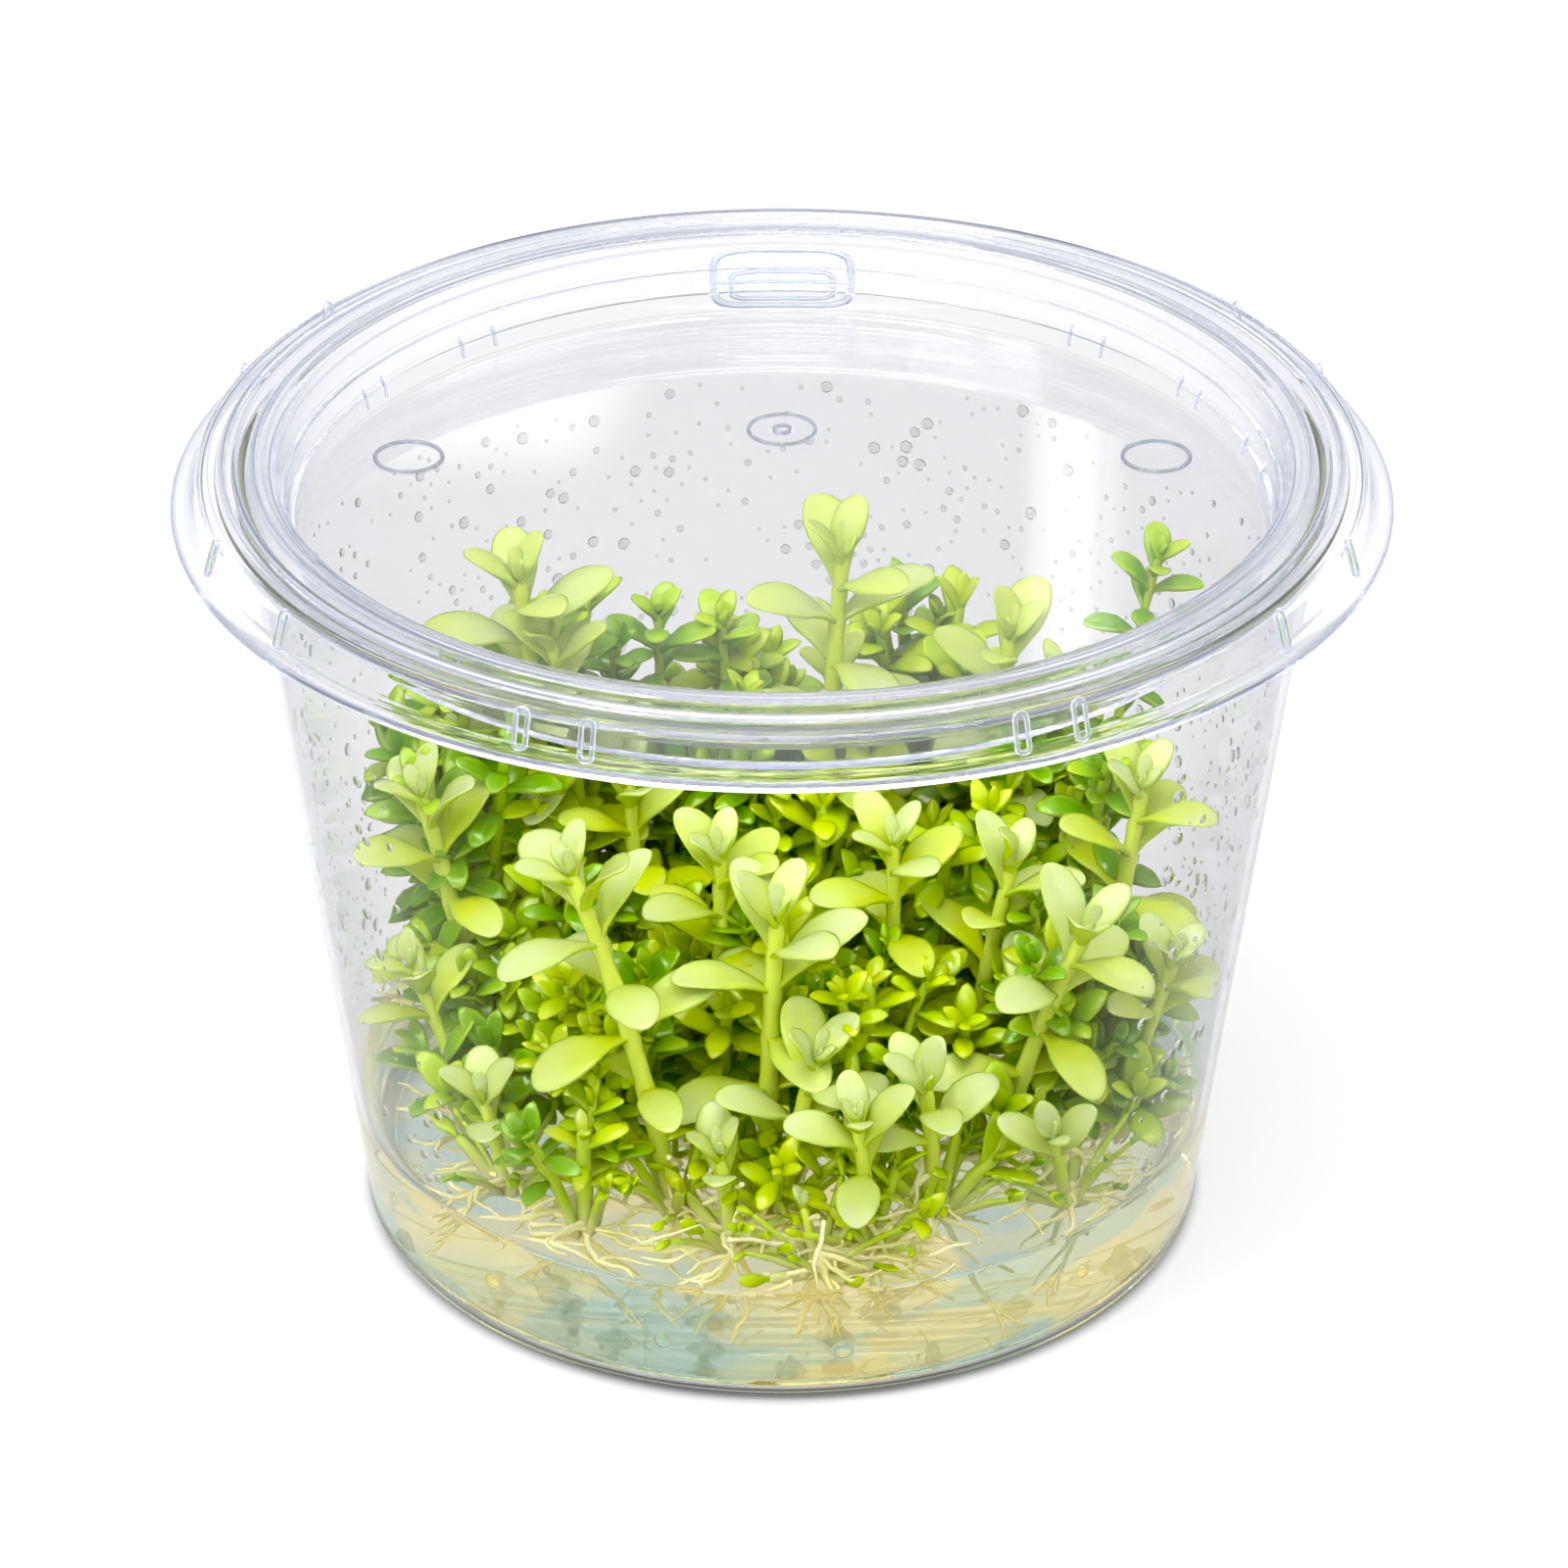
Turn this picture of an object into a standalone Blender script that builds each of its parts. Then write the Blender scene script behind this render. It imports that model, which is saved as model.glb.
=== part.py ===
"""Bacopa grown in gel inside a clear lidded cup, with every shoot a piece of its own.

Sizes are in millimetres, and MM turns them into Blender's metres. The origin is the middle of
the cup's flat bottom, +Z is up, and the side that faces -Y is the front.
"""

import math

import bmesh
import bpy
from mathutils import Matrix, Vector
from mathutils.bvhtree import BVHTree

MM = 0.001
GAP = 0.3
TURNED_SIDES = 36

CUP_FOOT_RADIUS = 39.0
CUP_FOOT_ROUND = 0.8
CUP_WALL = 1.2
CUP_SLOPE = 0.1324
CUP_NECK_Z = 72.0
CUP_RIM_TOP_Z = 75.4
CUP_RIM_RADIUS = 51.3

LID_RADIUS = 55.0
LID_LIP_Z = 72.1
LID_TOP_Z = 77.0
LID_PANEL_Z = 69.2
LID_PANEL_RADIUS = 44.1
LID_WALL = 0.9

RIB_ANGLES = (-24.5, -18.0, 22.4, 28.4, -71.0, -54.6, 54.6, 71.0, 110.0, 126.0, -110.0, -126.0)
RIB_WIDTH = 1.4
RIB_DEPTH = 0.9
RIB_HEIGHT = 2.6
CATCH_WIDTH = 12.6
CATCH_DEPTH = 1.6
CATCH_HEIGHT = 5.6

GEL_FLOOR_Z = CUP_WALL + GAP
GEL_TOP_Z = 11.3
GEL_EDGE_RISE = 0.7
SOCKET_DEPTH = 3.0

STEM_SIDES = 4
STEM_TO_LEAF = 0.135
NODE_SWELL = 1.2
NODE_HEIGHT = 1.1
BUD_HEIGHT = 1.6

LEAF_WIDTH_RATIO = 0.52
LEAF_THICKNESS = 0.9
LEAF_DROOP = 26.0
LEAF_CLEARANCE = 0.45
SECTION_CORNERS = ((-1, -1), (1, -1), (1, 1), (-1, 1))
TOP_PAIR_SIZE = 0.82
PAIR_TILTS = (60.0, 38.0, 16.0, 2.0, -10.0)
PAIR_STEPS = (3.6, 5.6, 6.4, 6.6)
REFERENCE_LEAF = 8.5

# Root x, y on the gel; tip x, y, z; turn of the top leaf pair in degrees; leaf length; pairs.
BACK_SHOOTS = (
    ((-21.0, 11.0), (-24.4, 14.0, 55.0), 15.0, 8.6, 4),
    ((-16.5, 8.0), (-21.5, 11.5, 50.0), 70.0, 7.2, 3),
    ((-11.5, 21.5), (-11.7, 24.0, 46.5), 0.0, 5.0, 3),
    ((-4.5, 24.5), (-5.7, 25.0, 45.0), 35.0, 5.0, 3),
    ((3.0, 9.0), (5.6, 14.0, 57.5), 0.0, 8.8, 4),
    ((5.5, 21.5), (5.0, 22.0, 41.0), 5.0, 7.0, 3),
    ((18.5, 12.0), (21.3, 16.0, 48.0), -25.0, 8.2, 3),
    ((27.0, 9.0), (35.0, 14.0, 58.0), 10.0, 4.6, 2),
    ((16.0, 25.0), (17.4, 23.0, 40.5), 60.0, 6.5, 3),
)
MIDDLE_SHOOTS = (
    ((-27.5, -3.0), (-33.3, 1.5, 39.5), 100.0, 8.6, 4),
    ((-28.5, -12.0), (-34.0, -8.0, 27.0), 30.0, 6.4, 3),
    ((-13.0, 3.0), (-14.3, 6.0, 39.0), 0.0, 7.5, 3),
    ((-5.5, -9.5), (-5.7, -7.0, 38.0), 55.0, 8.0, 3),
    ((10.5, -7.5), (10.2, -5.5, 38.5), 25.0, 7.6, 3),
    ((16.5, -9.5), (21.1, -5.0, 36.0), 65.0, 8.0, 3),
    ((29.5, -2.5), (33.4, 2.0, 40.0), 95.0, 8.8, 4),
    ((31.0, -11.5), (36.0, -9.5, 28.5), 80.0, 7.4, 3),
)
FRONT_SHOOTS = (
    ((-9.5, -25.0), (-18.8, -18.0, 42.5), 95.0, 9.0, 5),
    ((-1.5, -19.5), (-0.5, -16.0, 36.5), 20.0, 9.4, 4),
    ((-0.5, -26.5), (3.0, -24.0, 26.5), 10.0, 8.2, 2),
    ((8.0, -31.0), (6.8, -31.0, 24.5), 90.0, 7.2, 2),
    ((14.0, -25.5), (13.0, -26.0, 25.0), 25.0, 7.8, 3),
    ((19.5, -16.5), (27.3, -16.0, 35.0), 20.0, 8.6, 4),
    ((26.0, -23.0), (24.5, -25.5, 19.5), 100.0, 6.6, 2),
    ((-4.5, -30.5), (-5.5, -29.5, 20.0), 10.0, 7.0, 2),
    ((3.2, -34.3), (2.0, -32.5, 16.5), 40.0, 5.6, 1),
    ((-25.0, -21.0), (-27.0, -20.5, 20.5), 0.0, 7.0, 2),
)

# Short shoots fill what is left of the gel, on a sunflower spiral.
UNDERGROWTH_SPOTS = 46
UNDERGROWTH_REACH = 34.5
UNDERGROWTH_SPACING = 3.4
UNDERGROWTH_LEAN = 1.03
UNDERGROWTH_HEIGHTS = (27.0, 22.0, 30.0, 24.5)
UNDERGROWTH_LEAF = 6.6
UNDERGROWTH_PAIRS = 2
GOLDEN_ANGLE = math.radians(137.508)

CLEAR_PLASTIC = (0.90, 0.92, 0.95, 1.0)
GEL_TINT = (0.72, 0.76, 0.68, 1.0)
FOLIAGE_GREENS = {
    "back": (0.36, 0.50, 0.06, 1.0),
    "middle": (0.44, 0.58, 0.09, 1.0),
    "front": (0.58, 0.69, 0.20, 1.0),
    "low": (0.16, 0.30, 0.02, 1.0),
}


def clear_old_scene():
    for old in list(bpy.data.objects):
        bpy.data.objects.remove(old, do_unlink=True)


def plain_material(name, colour, roughness, see_through=0.0):
    material = bpy.data.materials.new(name)
    material.use_nodes = True
    shader = material.node_tree.nodes["Principled BSDF"]
    shader.inputs["Base Color"].default_value = colour
    shader.inputs["Roughness"].default_value = roughness
    shader.inputs["Metallic"].default_value = 0.0
    shader.inputs["Transmission Weight"].default_value = see_through
    return material


def add_object(name, mesh_data, material, sharp_degrees=40.0):
    """Turns finished bmesh geometry in millimetres into an object in metres."""
    bmesh.ops.recalc_face_normals(mesh_data, faces=mesh_data.faces)
    bmesh.ops.scale(mesh_data, vec=(MM, MM, MM), verts=mesh_data.verts)
    mesh = bpy.data.meshes.new(name)
    mesh_data.to_mesh(mesh)
    mesh_data.free()
    mesh.shade_smooth()
    mesh.set_sharp_from_angle(angle=math.radians(sharp_degrees))
    mesh.materials.append(material)
    piece = bpy.data.objects.new(name, mesh)
    bpy.context.scene.collection.objects.link(piece)
    return piece


def turned(outline):
    """A solid of revolution from an outline of radius and height that starts and ends on the axis."""
    solid = bmesh.new()
    corners = [solid.verts.new((radius, 0.0, height)) for radius, height in outline]
    edges = [solid.edges.new(pair) for pair in zip(corners, corners[1:])]
    bmesh.ops.spin(
        solid,
        geom=corners + edges,
        cent=(0.0, 0.0, 0.0),
        axis=(0.0, 0.0, 1.0),
        angle=math.tau,
        steps=TURNED_SIDES,
        use_merge=True,
    )
    bmesh.ops.remove_doubles(solid, verts=solid.verts, dist=0.001)
    return solid


def add_block(mesh_data, size, bearing, radius, height):
    """A box of radial, sideways and upright size, at a bearing from the front towards the right."""
    turn = Matrix.Rotation(math.radians(bearing) - math.pi / 2, 4, "Z")
    place = turn @ Matrix.Translation((radius, 0.0, height)) @ Matrix.Diagonal((*size, 1.0))
    bmesh.ops.create_cube(mesh_data, size=1.0, matrix=place)


def as_cutter(name, mesh_data):
    """An object that only shapes another one, so it is never part of the model."""
    cutter = add_object(name, mesh_data, plain_material(name, CLEAR_PLASTIC, 0.5))
    cutter.hide_render = True
    cutter.display_type = "WIRE"
    return cutter


def combine(piece, tool, operation):
    boolean = piece.modifiers.new(tool.name, "BOOLEAN")
    boolean.operation = operation
    boolean.solver = "EXACT"
    boolean.object = tool


def cup_outer_radius(height):
    return CUP_FOOT_RADIUS + CUP_SLOPE * height


def cup_inner_radius(height):
    return cup_outer_radius(height) - CUP_WALL


def make_cup(material):
    neck = cup_outer_radius(CUP_NECK_Z)
    outline = (
        (0.0, 0.0),
        (CUP_FOOT_RADIUS - CUP_FOOT_ROUND, 0.0),
        (cup_outer_radius(CUP_FOOT_ROUND), CUP_FOOT_ROUND),
        (neck, CUP_NECK_Z),
        (CUP_RIM_RADIUS, CUP_NECK_Z + 1.2),
        (CUP_RIM_RADIUS, CUP_RIM_TOP_Z - 0.6),
        (CUP_RIM_RADIUS - 0.7, CUP_RIM_TOP_Z),
        (neck - 0.3, CUP_RIM_TOP_Z),
        (cup_inner_radius(CUP_NECK_Z), CUP_NECK_Z + 1.6),
        (cup_inner_radius(2.4), 2.4),
        (cup_inner_radius(CUP_WALL) - 1.0, CUP_WALL),
        (0.0, CUP_WALL),
    )
    return add_object("cup", turned(outline), material)


def make_lid(material):
    """A recessed panel, a stepped plug wall, a double-ridged ring over the cup's rim, and a flared lip."""
    ring_under_z = CUP_RIM_TOP_Z + GAP
    outline = (
        (0.0, LID_PANEL_Z),
        (LID_PANEL_RADIUS, LID_PANEL_Z),
        (44.9, 71.4),
        (46.0, 76.2),
        (46.9, LID_TOP_Z),
        (48.6, 76.4),
        (50.2, LID_TOP_Z - 0.1),
        (52.6, 76.0),
        (53.3, 73.4),
        (LID_RADIUS, LID_LIP_Z + 0.7),
        (LID_RADIUS, LID_LIP_Z),
        (52.5, LID_LIP_Z + 0.5),
        (51.8, ring_under_z),
        (47.0, ring_under_z),
        (LID_PANEL_RADIUS + 1.0, LID_PANEL_Z - LID_WALL),
        (0.0, LID_PANEL_Z - LID_WALL),
    )
    lid = add_object("lid", turned(outline), material)
    trim = bmesh.new()
    for bearing in RIB_ANGLES:
        add_block(trim, (RIB_DEPTH, RIB_WIDTH, RIB_HEIGHT), bearing, 53.0, 74.2)
    add_block(trim, (CATCH_DEPTH, CATCH_WIDTH, CATCH_HEIGHT), 180.0, 44.9, 71.6)
    combine(lid, as_cutter("lid_trim", trim), "UNION")
    return lid


def make_gel(material, tall_shoots):
    """The set gel, with a raised edge at the wall and a socket for each tall stem."""
    edge = cup_inner_radius(GEL_TOP_Z) - GAP
    outline = (
        (0.0, GEL_FLOOR_Z),
        (cup_inner_radius(CUP_WALL) - 1.4, GEL_FLOOR_Z),
        (cup_inner_radius(2.4) - GAP, 2.5),
        (edge, GEL_TOP_Z + GEL_EDGE_RISE),
        (edge - 1.2, GEL_TOP_Z),
        (0.0, GEL_TOP_Z),
    )
    gel = add_object("gel", turned(outline), material)
    sockets = bmesh.new()
    for root, _, _, leaf_length, _ in tall_shoots:
        radius = stem_radius(leaf_length) + math.sqrt(2.0) * GAP
        bmesh.ops.create_cone(
            sockets,
            cap_ends=True,
            segments=STEM_SIDES,
            radius1=radius,
            radius2=radius,
            depth=2.0 * SOCKET_DEPTH,
            matrix=Matrix.Translation((*root, GEL_TOP_Z)) @ Matrix.Rotation(math.pi / STEM_SIDES, 4, "Z"),
        )
    combine(gel, as_cutter("gel_sockets", sockets), "DIFFERENCE")
    return gel


def stem_radius(leaf_length):
    """Thick shoots carry the long leaves."""
    return STEM_TO_LEAF * leaf_length


class Stem:
    """The curved middle line of a shoot, from its foot to its tip."""

    def __init__(self, root, tip, foot_z, radius):
        self.radius = radius
        self.foot = Vector((root[0], root[1], foot_z))
        self.start = Vector((root[0], root[1], GEL_TOP_Z + 0.8))
        self.tip = Vector(tip)
        lean = self.tip - self.start
        self.bend = self.start + Vector((0.3 * lean.x, 0.3 * lean.y, 0.55 * lean.z))
        self.length = self.measure()

    def point(self, share):
        rest = 1.0 - share
        return rest * rest * self.start + 2.0 * rest * share * self.bend + share * share * self.tip

    def direction(self, share):
        rest = 1.0 - share
        return (rest * (self.bend - self.start) + share * (self.tip - self.bend)).normalized()

    def measure(self, steps=24):
        points = [self.point(step / steps) for step in range(steps + 1)]
        return sum((b - a).length for a, b in zip(points, points[1:]))

    def clearance(self, place, steps=14):
        points = [self.foot] + [self.point(step / steps) for step in range(steps + 1)]
        nearest = 1e9
        for a, b in zip(points, points[1:]):
            run = b - a
            along = max(0.0, min(1.0, (place - a).dot(run) / run.length_squared))
            nearest = min(nearest, (place - a - along * run).length)
        return nearest - self.radius


def across(direction, heading):
    """The unit vector square to a stem that points along a compass heading."""
    flat = Vector((math.cos(heading), math.sin(heading), 0.0))
    return (flat - flat.dot(direction) * direction).normalized()


def leaf_stations(root, outward, upward, length, tilt, swell=0.0):
    """Two cross-sections and the tip of a spoon-shaped leaf that arches over."""
    sideways = upward.cross(outward).normalized()
    place = root.copy()
    reached = 0.0
    stations = []
    for share, width_share, thickness_share in ((0.5, 0.86, 1.0), (0.84, 0.84, 0.75), (1.0, 0.0, 0.0)):
        slope = math.radians(tilt - LEAF_DROOP * 0.5 * (share + reached))
        along = math.cos(slope) * outward + math.sin(slope) * upward
        place = place + (share - reached) * length * along
        reached = share
        normal = along.cross(sideways).normalized()
        if normal.dot(upward) < 0.0:
            normal = -normal
        half_width = 0.5 * LEAF_WIDTH_RATIO * length * width_share + swell
        half_thick = 0.5 * LEAF_THICKNESS * thickness_share + swell
        if width_share == 0.0:
            stations.append([place + swell * along])
        else:
            section = [place + half_width * a * sideways + half_thick * b * normal for a, b in SECTION_CORNERS]
            stations.append(section)
    return stations


def leaf_tree(base, stations):
    """A search tree of a leaf's surface, for the test that no two leaves meet."""
    first, second, (tip,) = stations
    points = base + first + second + [tip]
    faces = []
    for corner in range(4):
        following = (corner + 1) % 4
        for start in (0, 4):
            faces.append((start + corner, start + 4 + corner, start + 4 + following, start + following))
        faces.append((8 + corner, 12, 8 + following))
    return BVHTree.FromPolygons(points, faces)


def inside_cup(place):
    if not GEL_TOP_Z + 0.6 < place.z < LID_PANEL_Z - LID_WALL - 0.5:
        return False
    return math.hypot(place.x, place.y) < cup_inner_radius(place.z) - 0.7


def fitted_leaf(own_stem, stems, grown, root, outward, upward, length, tilt):
    """Tries a leaf as it wants to grow, then steeper, flatter or shorter, until it has room."""
    for size, turn in ((1.0, 0), (1.0, 16), (1.0, -16), (0.82, 0), (0.82, 24), (0.82, -24), (0.66, 10), (0.66, -30)):
        stations = leaf_stations(root, outward, upward, size * length, tilt + turn)
        wide = leaf_stations(root, outward, upward, size * length, tilt + turn, 0.5 * LEAF_CLEARANCE)
        points = [place for station in wide for place in station]
        middles = [sum(station, Vector()) / len(station) for station in stations]
        if not all(inside_cup(place) for place in points):
            continue
        others = [stem for stem in stems if stem is not own_stem]
        if any(stem.clearance(place) < LEAF_CLEARANCE for stem in others for place in points + middles):
            continue
        reach = NODE_SWELL * own_stem.radius * math.sqrt(0.5) + 0.5 * LEAF_CLEARANCE
        sideways = upward.cross(outward).normalized()
        rise = 0.5 * NODE_HEIGHT + 0.5 * LEAF_CLEARANCE
        base = [root + reach * (outward + a * sideways) + b * rise * upward for a, b in SECTION_CORNERS]
        tree = leaf_tree(base, wide)
        if any(tree.overlap(other) for other in grown):
            continue
        grown.append(tree)
        return stations
    return None


def add_ring(mesh_data, centre, direction, radius, heading):
    """The corners of a stem's cross-section, whose first side faces along the heading."""
    first = across(direction, heading)
    second = direction.cross(first)
    ring = []
    for side in range(STEM_SIDES):
        angle = math.tau * (side - 0.5) / STEM_SIDES
        spoke = math.cos(angle) * first + math.sin(angle) * second
        ring.append(mesh_data.verts.new(centre + radius * spoke))
    return ring


def bridge(mesh_data, lower, upper):
    """The side faces between two rings; face number n looks towards the ring's side n."""
    count = len(lower)
    faces = []
    for side in range(count):
        following = (side + 1) % count
        faces.append(mesh_data.faces.new((lower[side], lower[following], upper[following], upper[side])))
    return faces


def grow_leaf(mesh_data, socket_face, stations):
    """Draws a leaf out of one side face of the stem, section by section, and closes it at the tip."""
    corners = list(socket_face.verts)
    mesh_data.faces.remove(socket_face)
    for station in stations[:-1]:
        ring = [mesh_data.verts.new(place) for place in station]
        bridge(mesh_data, corners, ring)
        corners = ring
    tip = mesh_data.verts.new(stations[-1][0])
    for corner in range(4):
        mesh_data.faces.new((corners[corner], corners[(corner + 1) % 4], tip))


def pair_positions(stem, leaf_length, pairs):
    """Shares of the stem's length at which the leaf pairs sit, from the tip down."""
    scale = leaf_length / REFERENCE_LEAF
    reach = 0.9 * NODE_HEIGHT
    shares = []
    for number in range(pairs):
        shares.append(1.0 - reach / stem.length)
        reach += scale * PAIR_STEPS[min(number, len(PAIR_STEPS) - 1)]
    return [share for share in shares if share * stem.length > 3.0]


def make_shoot(name, stem, stems, grown, heading, leaf_length, pairs, material):
    """One stem with its opposite leaf pairs, each pair a quarter turn from the last."""
    shoot = bmesh.new()
    upright = Vector((0.0, 0.0, 1.0))
    foot = add_ring(shoot, stem.foot, upright, stem.radius, 0.0)
    shoot.faces.new(reversed(foot))
    ring = add_ring(shoot, stem.start, upright, stem.radius, 0.0)
    bridge(shoot, foot, ring)
    half_node = 0.5 * NODE_HEIGHT / stem.length
    shares = pair_positions(stem, leaf_length, pairs)
    for number, share in reversed(list(enumerate(shares))):
        facing = math.radians(heading) + number * math.pi / 2
        middle, direction = stem.point(share), stem.direction(share)
        swollen = NODE_SWELL * stem.radius
        below = add_ring(shoot, stem.point(share - half_node), direction, swollen, facing)
        above = add_ring(shoot, stem.point(share + half_node), direction, swollen, facing)
        bridge(shoot, ring, nearest_numbering(ring, below))
        faces = bridge(shoot, below, above)
        size = TOP_PAIR_SIZE if number == 0 else 1.0
        tilt = PAIR_TILTS[min(number, len(PAIR_TILTS) - 1)]
        for side, way in ((0, 1.0), (STEM_SIDES // 2, -1.0)):
            outward = way * across(direction, facing)
            stations = fitted_leaf(stem, stems, grown, middle, outward, direction, size * leaf_length, tilt)
            if stations:
                grow_leaf(shoot, faces[side], stations)
        ring = above
    bud = shoot.verts.new(stem.tip + BUD_HEIGHT * stem.direction(1.0))
    for corner in range(STEM_SIDES):
        shoot.faces.new((ring[corner], ring[(corner + 1) % STEM_SIDES], bud))
    bmesh.ops.triangulate(shoot, faces=shoot.faces)
    return add_object(name, shoot, material, 60.0)


def nearest_numbering(ring, following):
    """The second ring's corners, renumbered so that each stands over its own corner of the first."""

    def twist(shift):
        return sum((ring[n].co - following[(n + shift) % STEM_SIDES].co).length for n in range(STEM_SIDES))

    best = min(range(STEM_SIDES), key=twist)
    return following[best:] + following[:best]


def undergrowth_stems(tall_stems):
    """Short stems in the free places of the spiral, clear of the tall ones all the way up."""
    stems = []
    for number in range(UNDERGROWTH_SPOTS):
        reach = UNDERGROWTH_REACH * math.sqrt((number + 0.5) / UNDERGROWTH_SPOTS)
        angle = number * GOLDEN_ANGLE
        root = Vector((reach * math.cos(angle), reach * math.sin(angle)))
        height = UNDERGROWTH_HEIGHTS[len(stems) % len(UNDERGROWTH_HEIGHTS)]
        stem = Stem(root, (*(UNDERGROWTH_LEAN * root), height), GEL_TOP_Z + GAP, stem_radius(UNDERGROWTH_LEAF))
        levels = [stem.foot] + [stem.point(step / 6) for step in range(7)]
        others = tall_stems + stems
        if all(other.clearance(place) > UNDERGROWTH_SPACING for other in others for place in levels):
            stems.append(stem)
    return stems


def main():
    clear_old_scene()
    clear = plain_material("clear_plastic", CLEAR_PLASTIC, 0.05, 1.0)
    make_cup(clear)
    make_lid(clear)
    rows = {"back": BACK_SHOOTS, "middle": MIDDLE_SHOOTS, "front": FRONT_SHOOTS}
    tall = [shoot for row in rows.values() for shoot in row]
    make_gel(plain_material("gel", GEL_TINT, 0.1, 0.6), tall)

    plans = []
    for row, shoots in rows.items():
        for number, (root, tip, heading, leaf, pairs) in enumerate(shoots, 1):
            stem = Stem(root, tip, GEL_TOP_Z - SOCKET_DEPTH + GAP, stem_radius(leaf))
            plans.append((f"shoot_{row}_{number}", row, stem, heading, leaf, pairs))
    for number, stem in enumerate(undergrowth_stems([plan[2] for plan in plans]), 1):
        heading = math.degrees(number * GOLDEN_ANGLE)
        plans.append((f"shoot_low_{number}", "low", stem, heading, UNDERGROWTH_LEAF, UNDERGROWTH_PAIRS))

    greens = {row: plain_material(f"foliage_{row}", green, 0.35) for row, green in FOLIAGE_GREENS.items()}
    stems = [plan[2] for plan in plans]
    grown = []
    for name, row, stem, heading, leaf, pairs in plans:
        make_shoot(name, stem, stems, grown, heading, leaf, pairs, greens[row])


main()
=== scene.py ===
"""The looks of a lidded culture cup of bacopa: clear moulded plastic, set gel, roots and leafy shoots."""

import random
from math import atan2, copysign, cos, exp, hypot, pi, radians, sin, sqrt, tau

import bpy
import numpy as np
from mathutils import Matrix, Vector


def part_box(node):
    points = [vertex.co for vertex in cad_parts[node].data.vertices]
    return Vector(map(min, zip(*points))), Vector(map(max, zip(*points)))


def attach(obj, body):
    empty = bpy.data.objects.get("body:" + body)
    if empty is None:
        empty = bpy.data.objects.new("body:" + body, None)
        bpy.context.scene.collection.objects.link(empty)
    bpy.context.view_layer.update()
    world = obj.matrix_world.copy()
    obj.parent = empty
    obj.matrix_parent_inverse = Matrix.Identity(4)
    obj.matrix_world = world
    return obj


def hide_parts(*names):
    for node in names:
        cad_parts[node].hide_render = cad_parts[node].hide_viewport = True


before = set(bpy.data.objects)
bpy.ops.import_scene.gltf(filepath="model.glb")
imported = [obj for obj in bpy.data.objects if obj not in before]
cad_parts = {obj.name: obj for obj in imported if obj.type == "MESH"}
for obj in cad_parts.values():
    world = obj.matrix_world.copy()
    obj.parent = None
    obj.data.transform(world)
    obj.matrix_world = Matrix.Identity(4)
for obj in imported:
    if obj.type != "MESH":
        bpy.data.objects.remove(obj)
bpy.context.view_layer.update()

MM = 0.001
scene = bpy.context.scene

# The camera stands in front of the cup and looks down at it through a long lens, as the photograph
# does. Its place comes from the rims, the lip and the foot, which fix one camera between them. Light
# passes many walls of clear plastic on its way, so it may bounce often.
PHOTO_PIXELS = 1600
FOCAL_PIXELS = 7210
SENSOR_WIDTH = 36.0
CAMERA_TARGET = Vector((0.18, 0.0, 41.94)) * MM
CAMERA_DISTANCE = 651.8 * MM
CAMERA_PITCH = 0.5162
BLACK_LEVEL = (0.014, 0.014, 0.032)
CLEAR_BOUNCES = 64


def new_object(name, data):
    made = bpy.data.objects.new(name, data)
    scene.collection.objects.link(made)
    return made


camera_data = bpy.data.cameras.new("camera")
camera_data.sensor_width = SENSOR_WIDTH
camera_data.lens = SENSOR_WIDTH * FOCAL_PIXELS / PHOTO_PIXELS
camera_data.clip_start = 0.01
camera = new_object("camera", camera_data)
towards_camera = Vector((0.0, -cos(CAMERA_PITCH), sin(CAMERA_PITCH)))
camera.location = CAMERA_TARGET + CAMERA_DISTANCE * towards_camera
camera.rotation_euler = towards_camera.to_track_quat("Z", "Y").to_euler()
scene.camera = camera
scene.view_settings.view_transform = "Standard"
scene.view_settings.use_curve_mapping = True
scene.view_settings.curve_mapping.black_level = BLACK_LEVEL
scene.cycles.use_denoising = True
scene.cycles.max_bounces = CLEAR_BOUNCES
scene.cycles.transmission_bounces = CLEAR_BOUNCES
scene.cycles.glossy_bounces = CLEAR_BOUNCES
scene.cycles.diffuse_bounces = 3
scene.cycles.adaptive_threshold = 0.15
scene.cycles.caustics_reflective = False


# The studio is a white acrylic table under soft light: a broad panel overhead, one in front and one at each
# side, with two small bright lamps for the glints on the leaves.
def paint(code):
    """A colour written as on screen, RRGGBB, as the linear values that a shader takes."""
    channels = [int(code[start:start + 2], 16) / 255 for start in (0, 2, 4)]
    linear = [c / 12.92 if c <= 0.04045 else ((c + 0.055) / 1.055) ** 2.4 for c in channels]
    return (*linear, 1.0)


def add_softbox(name, place, width, height, power):
    light = bpy.data.lights.new(name, "AREA")
    light.shape = "RECTANGLE"
    light.size = width
    light.size_y = height
    light.energy = power
    lamp = new_object(name, light)
    lamp.location = place
    lamp.rotation_euler = (Vector(place) - CAMERA_TARGET).to_track_quat("Z", "Y").to_euler()


class Socket:
    """An output socket that can stand in sums; every operation adds the node that works it out."""

    def __init__(self, graph, socket):
        self.graph = graph
        self.socket = socket

    def __add__(self, other):
        return self.graph.maths("ADD", self, other)

    def __sub__(self, other):
        return self.graph.maths("SUBTRACT", self, other)

    def __rsub__(self, other):
        return self.graph.maths("SUBTRACT", other, self)

    def __mul__(self, other):
        return self.graph.maths("MULTIPLY", self, other)

    def __truediv__(self, other):
        return self.graph.maths("DIVIDE", self, other)

    def __pow__(self, other):
        return self.graph.maths("POWER", self, other)

    __radd__ = __add__
    __rmul__ = __mul__


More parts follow.
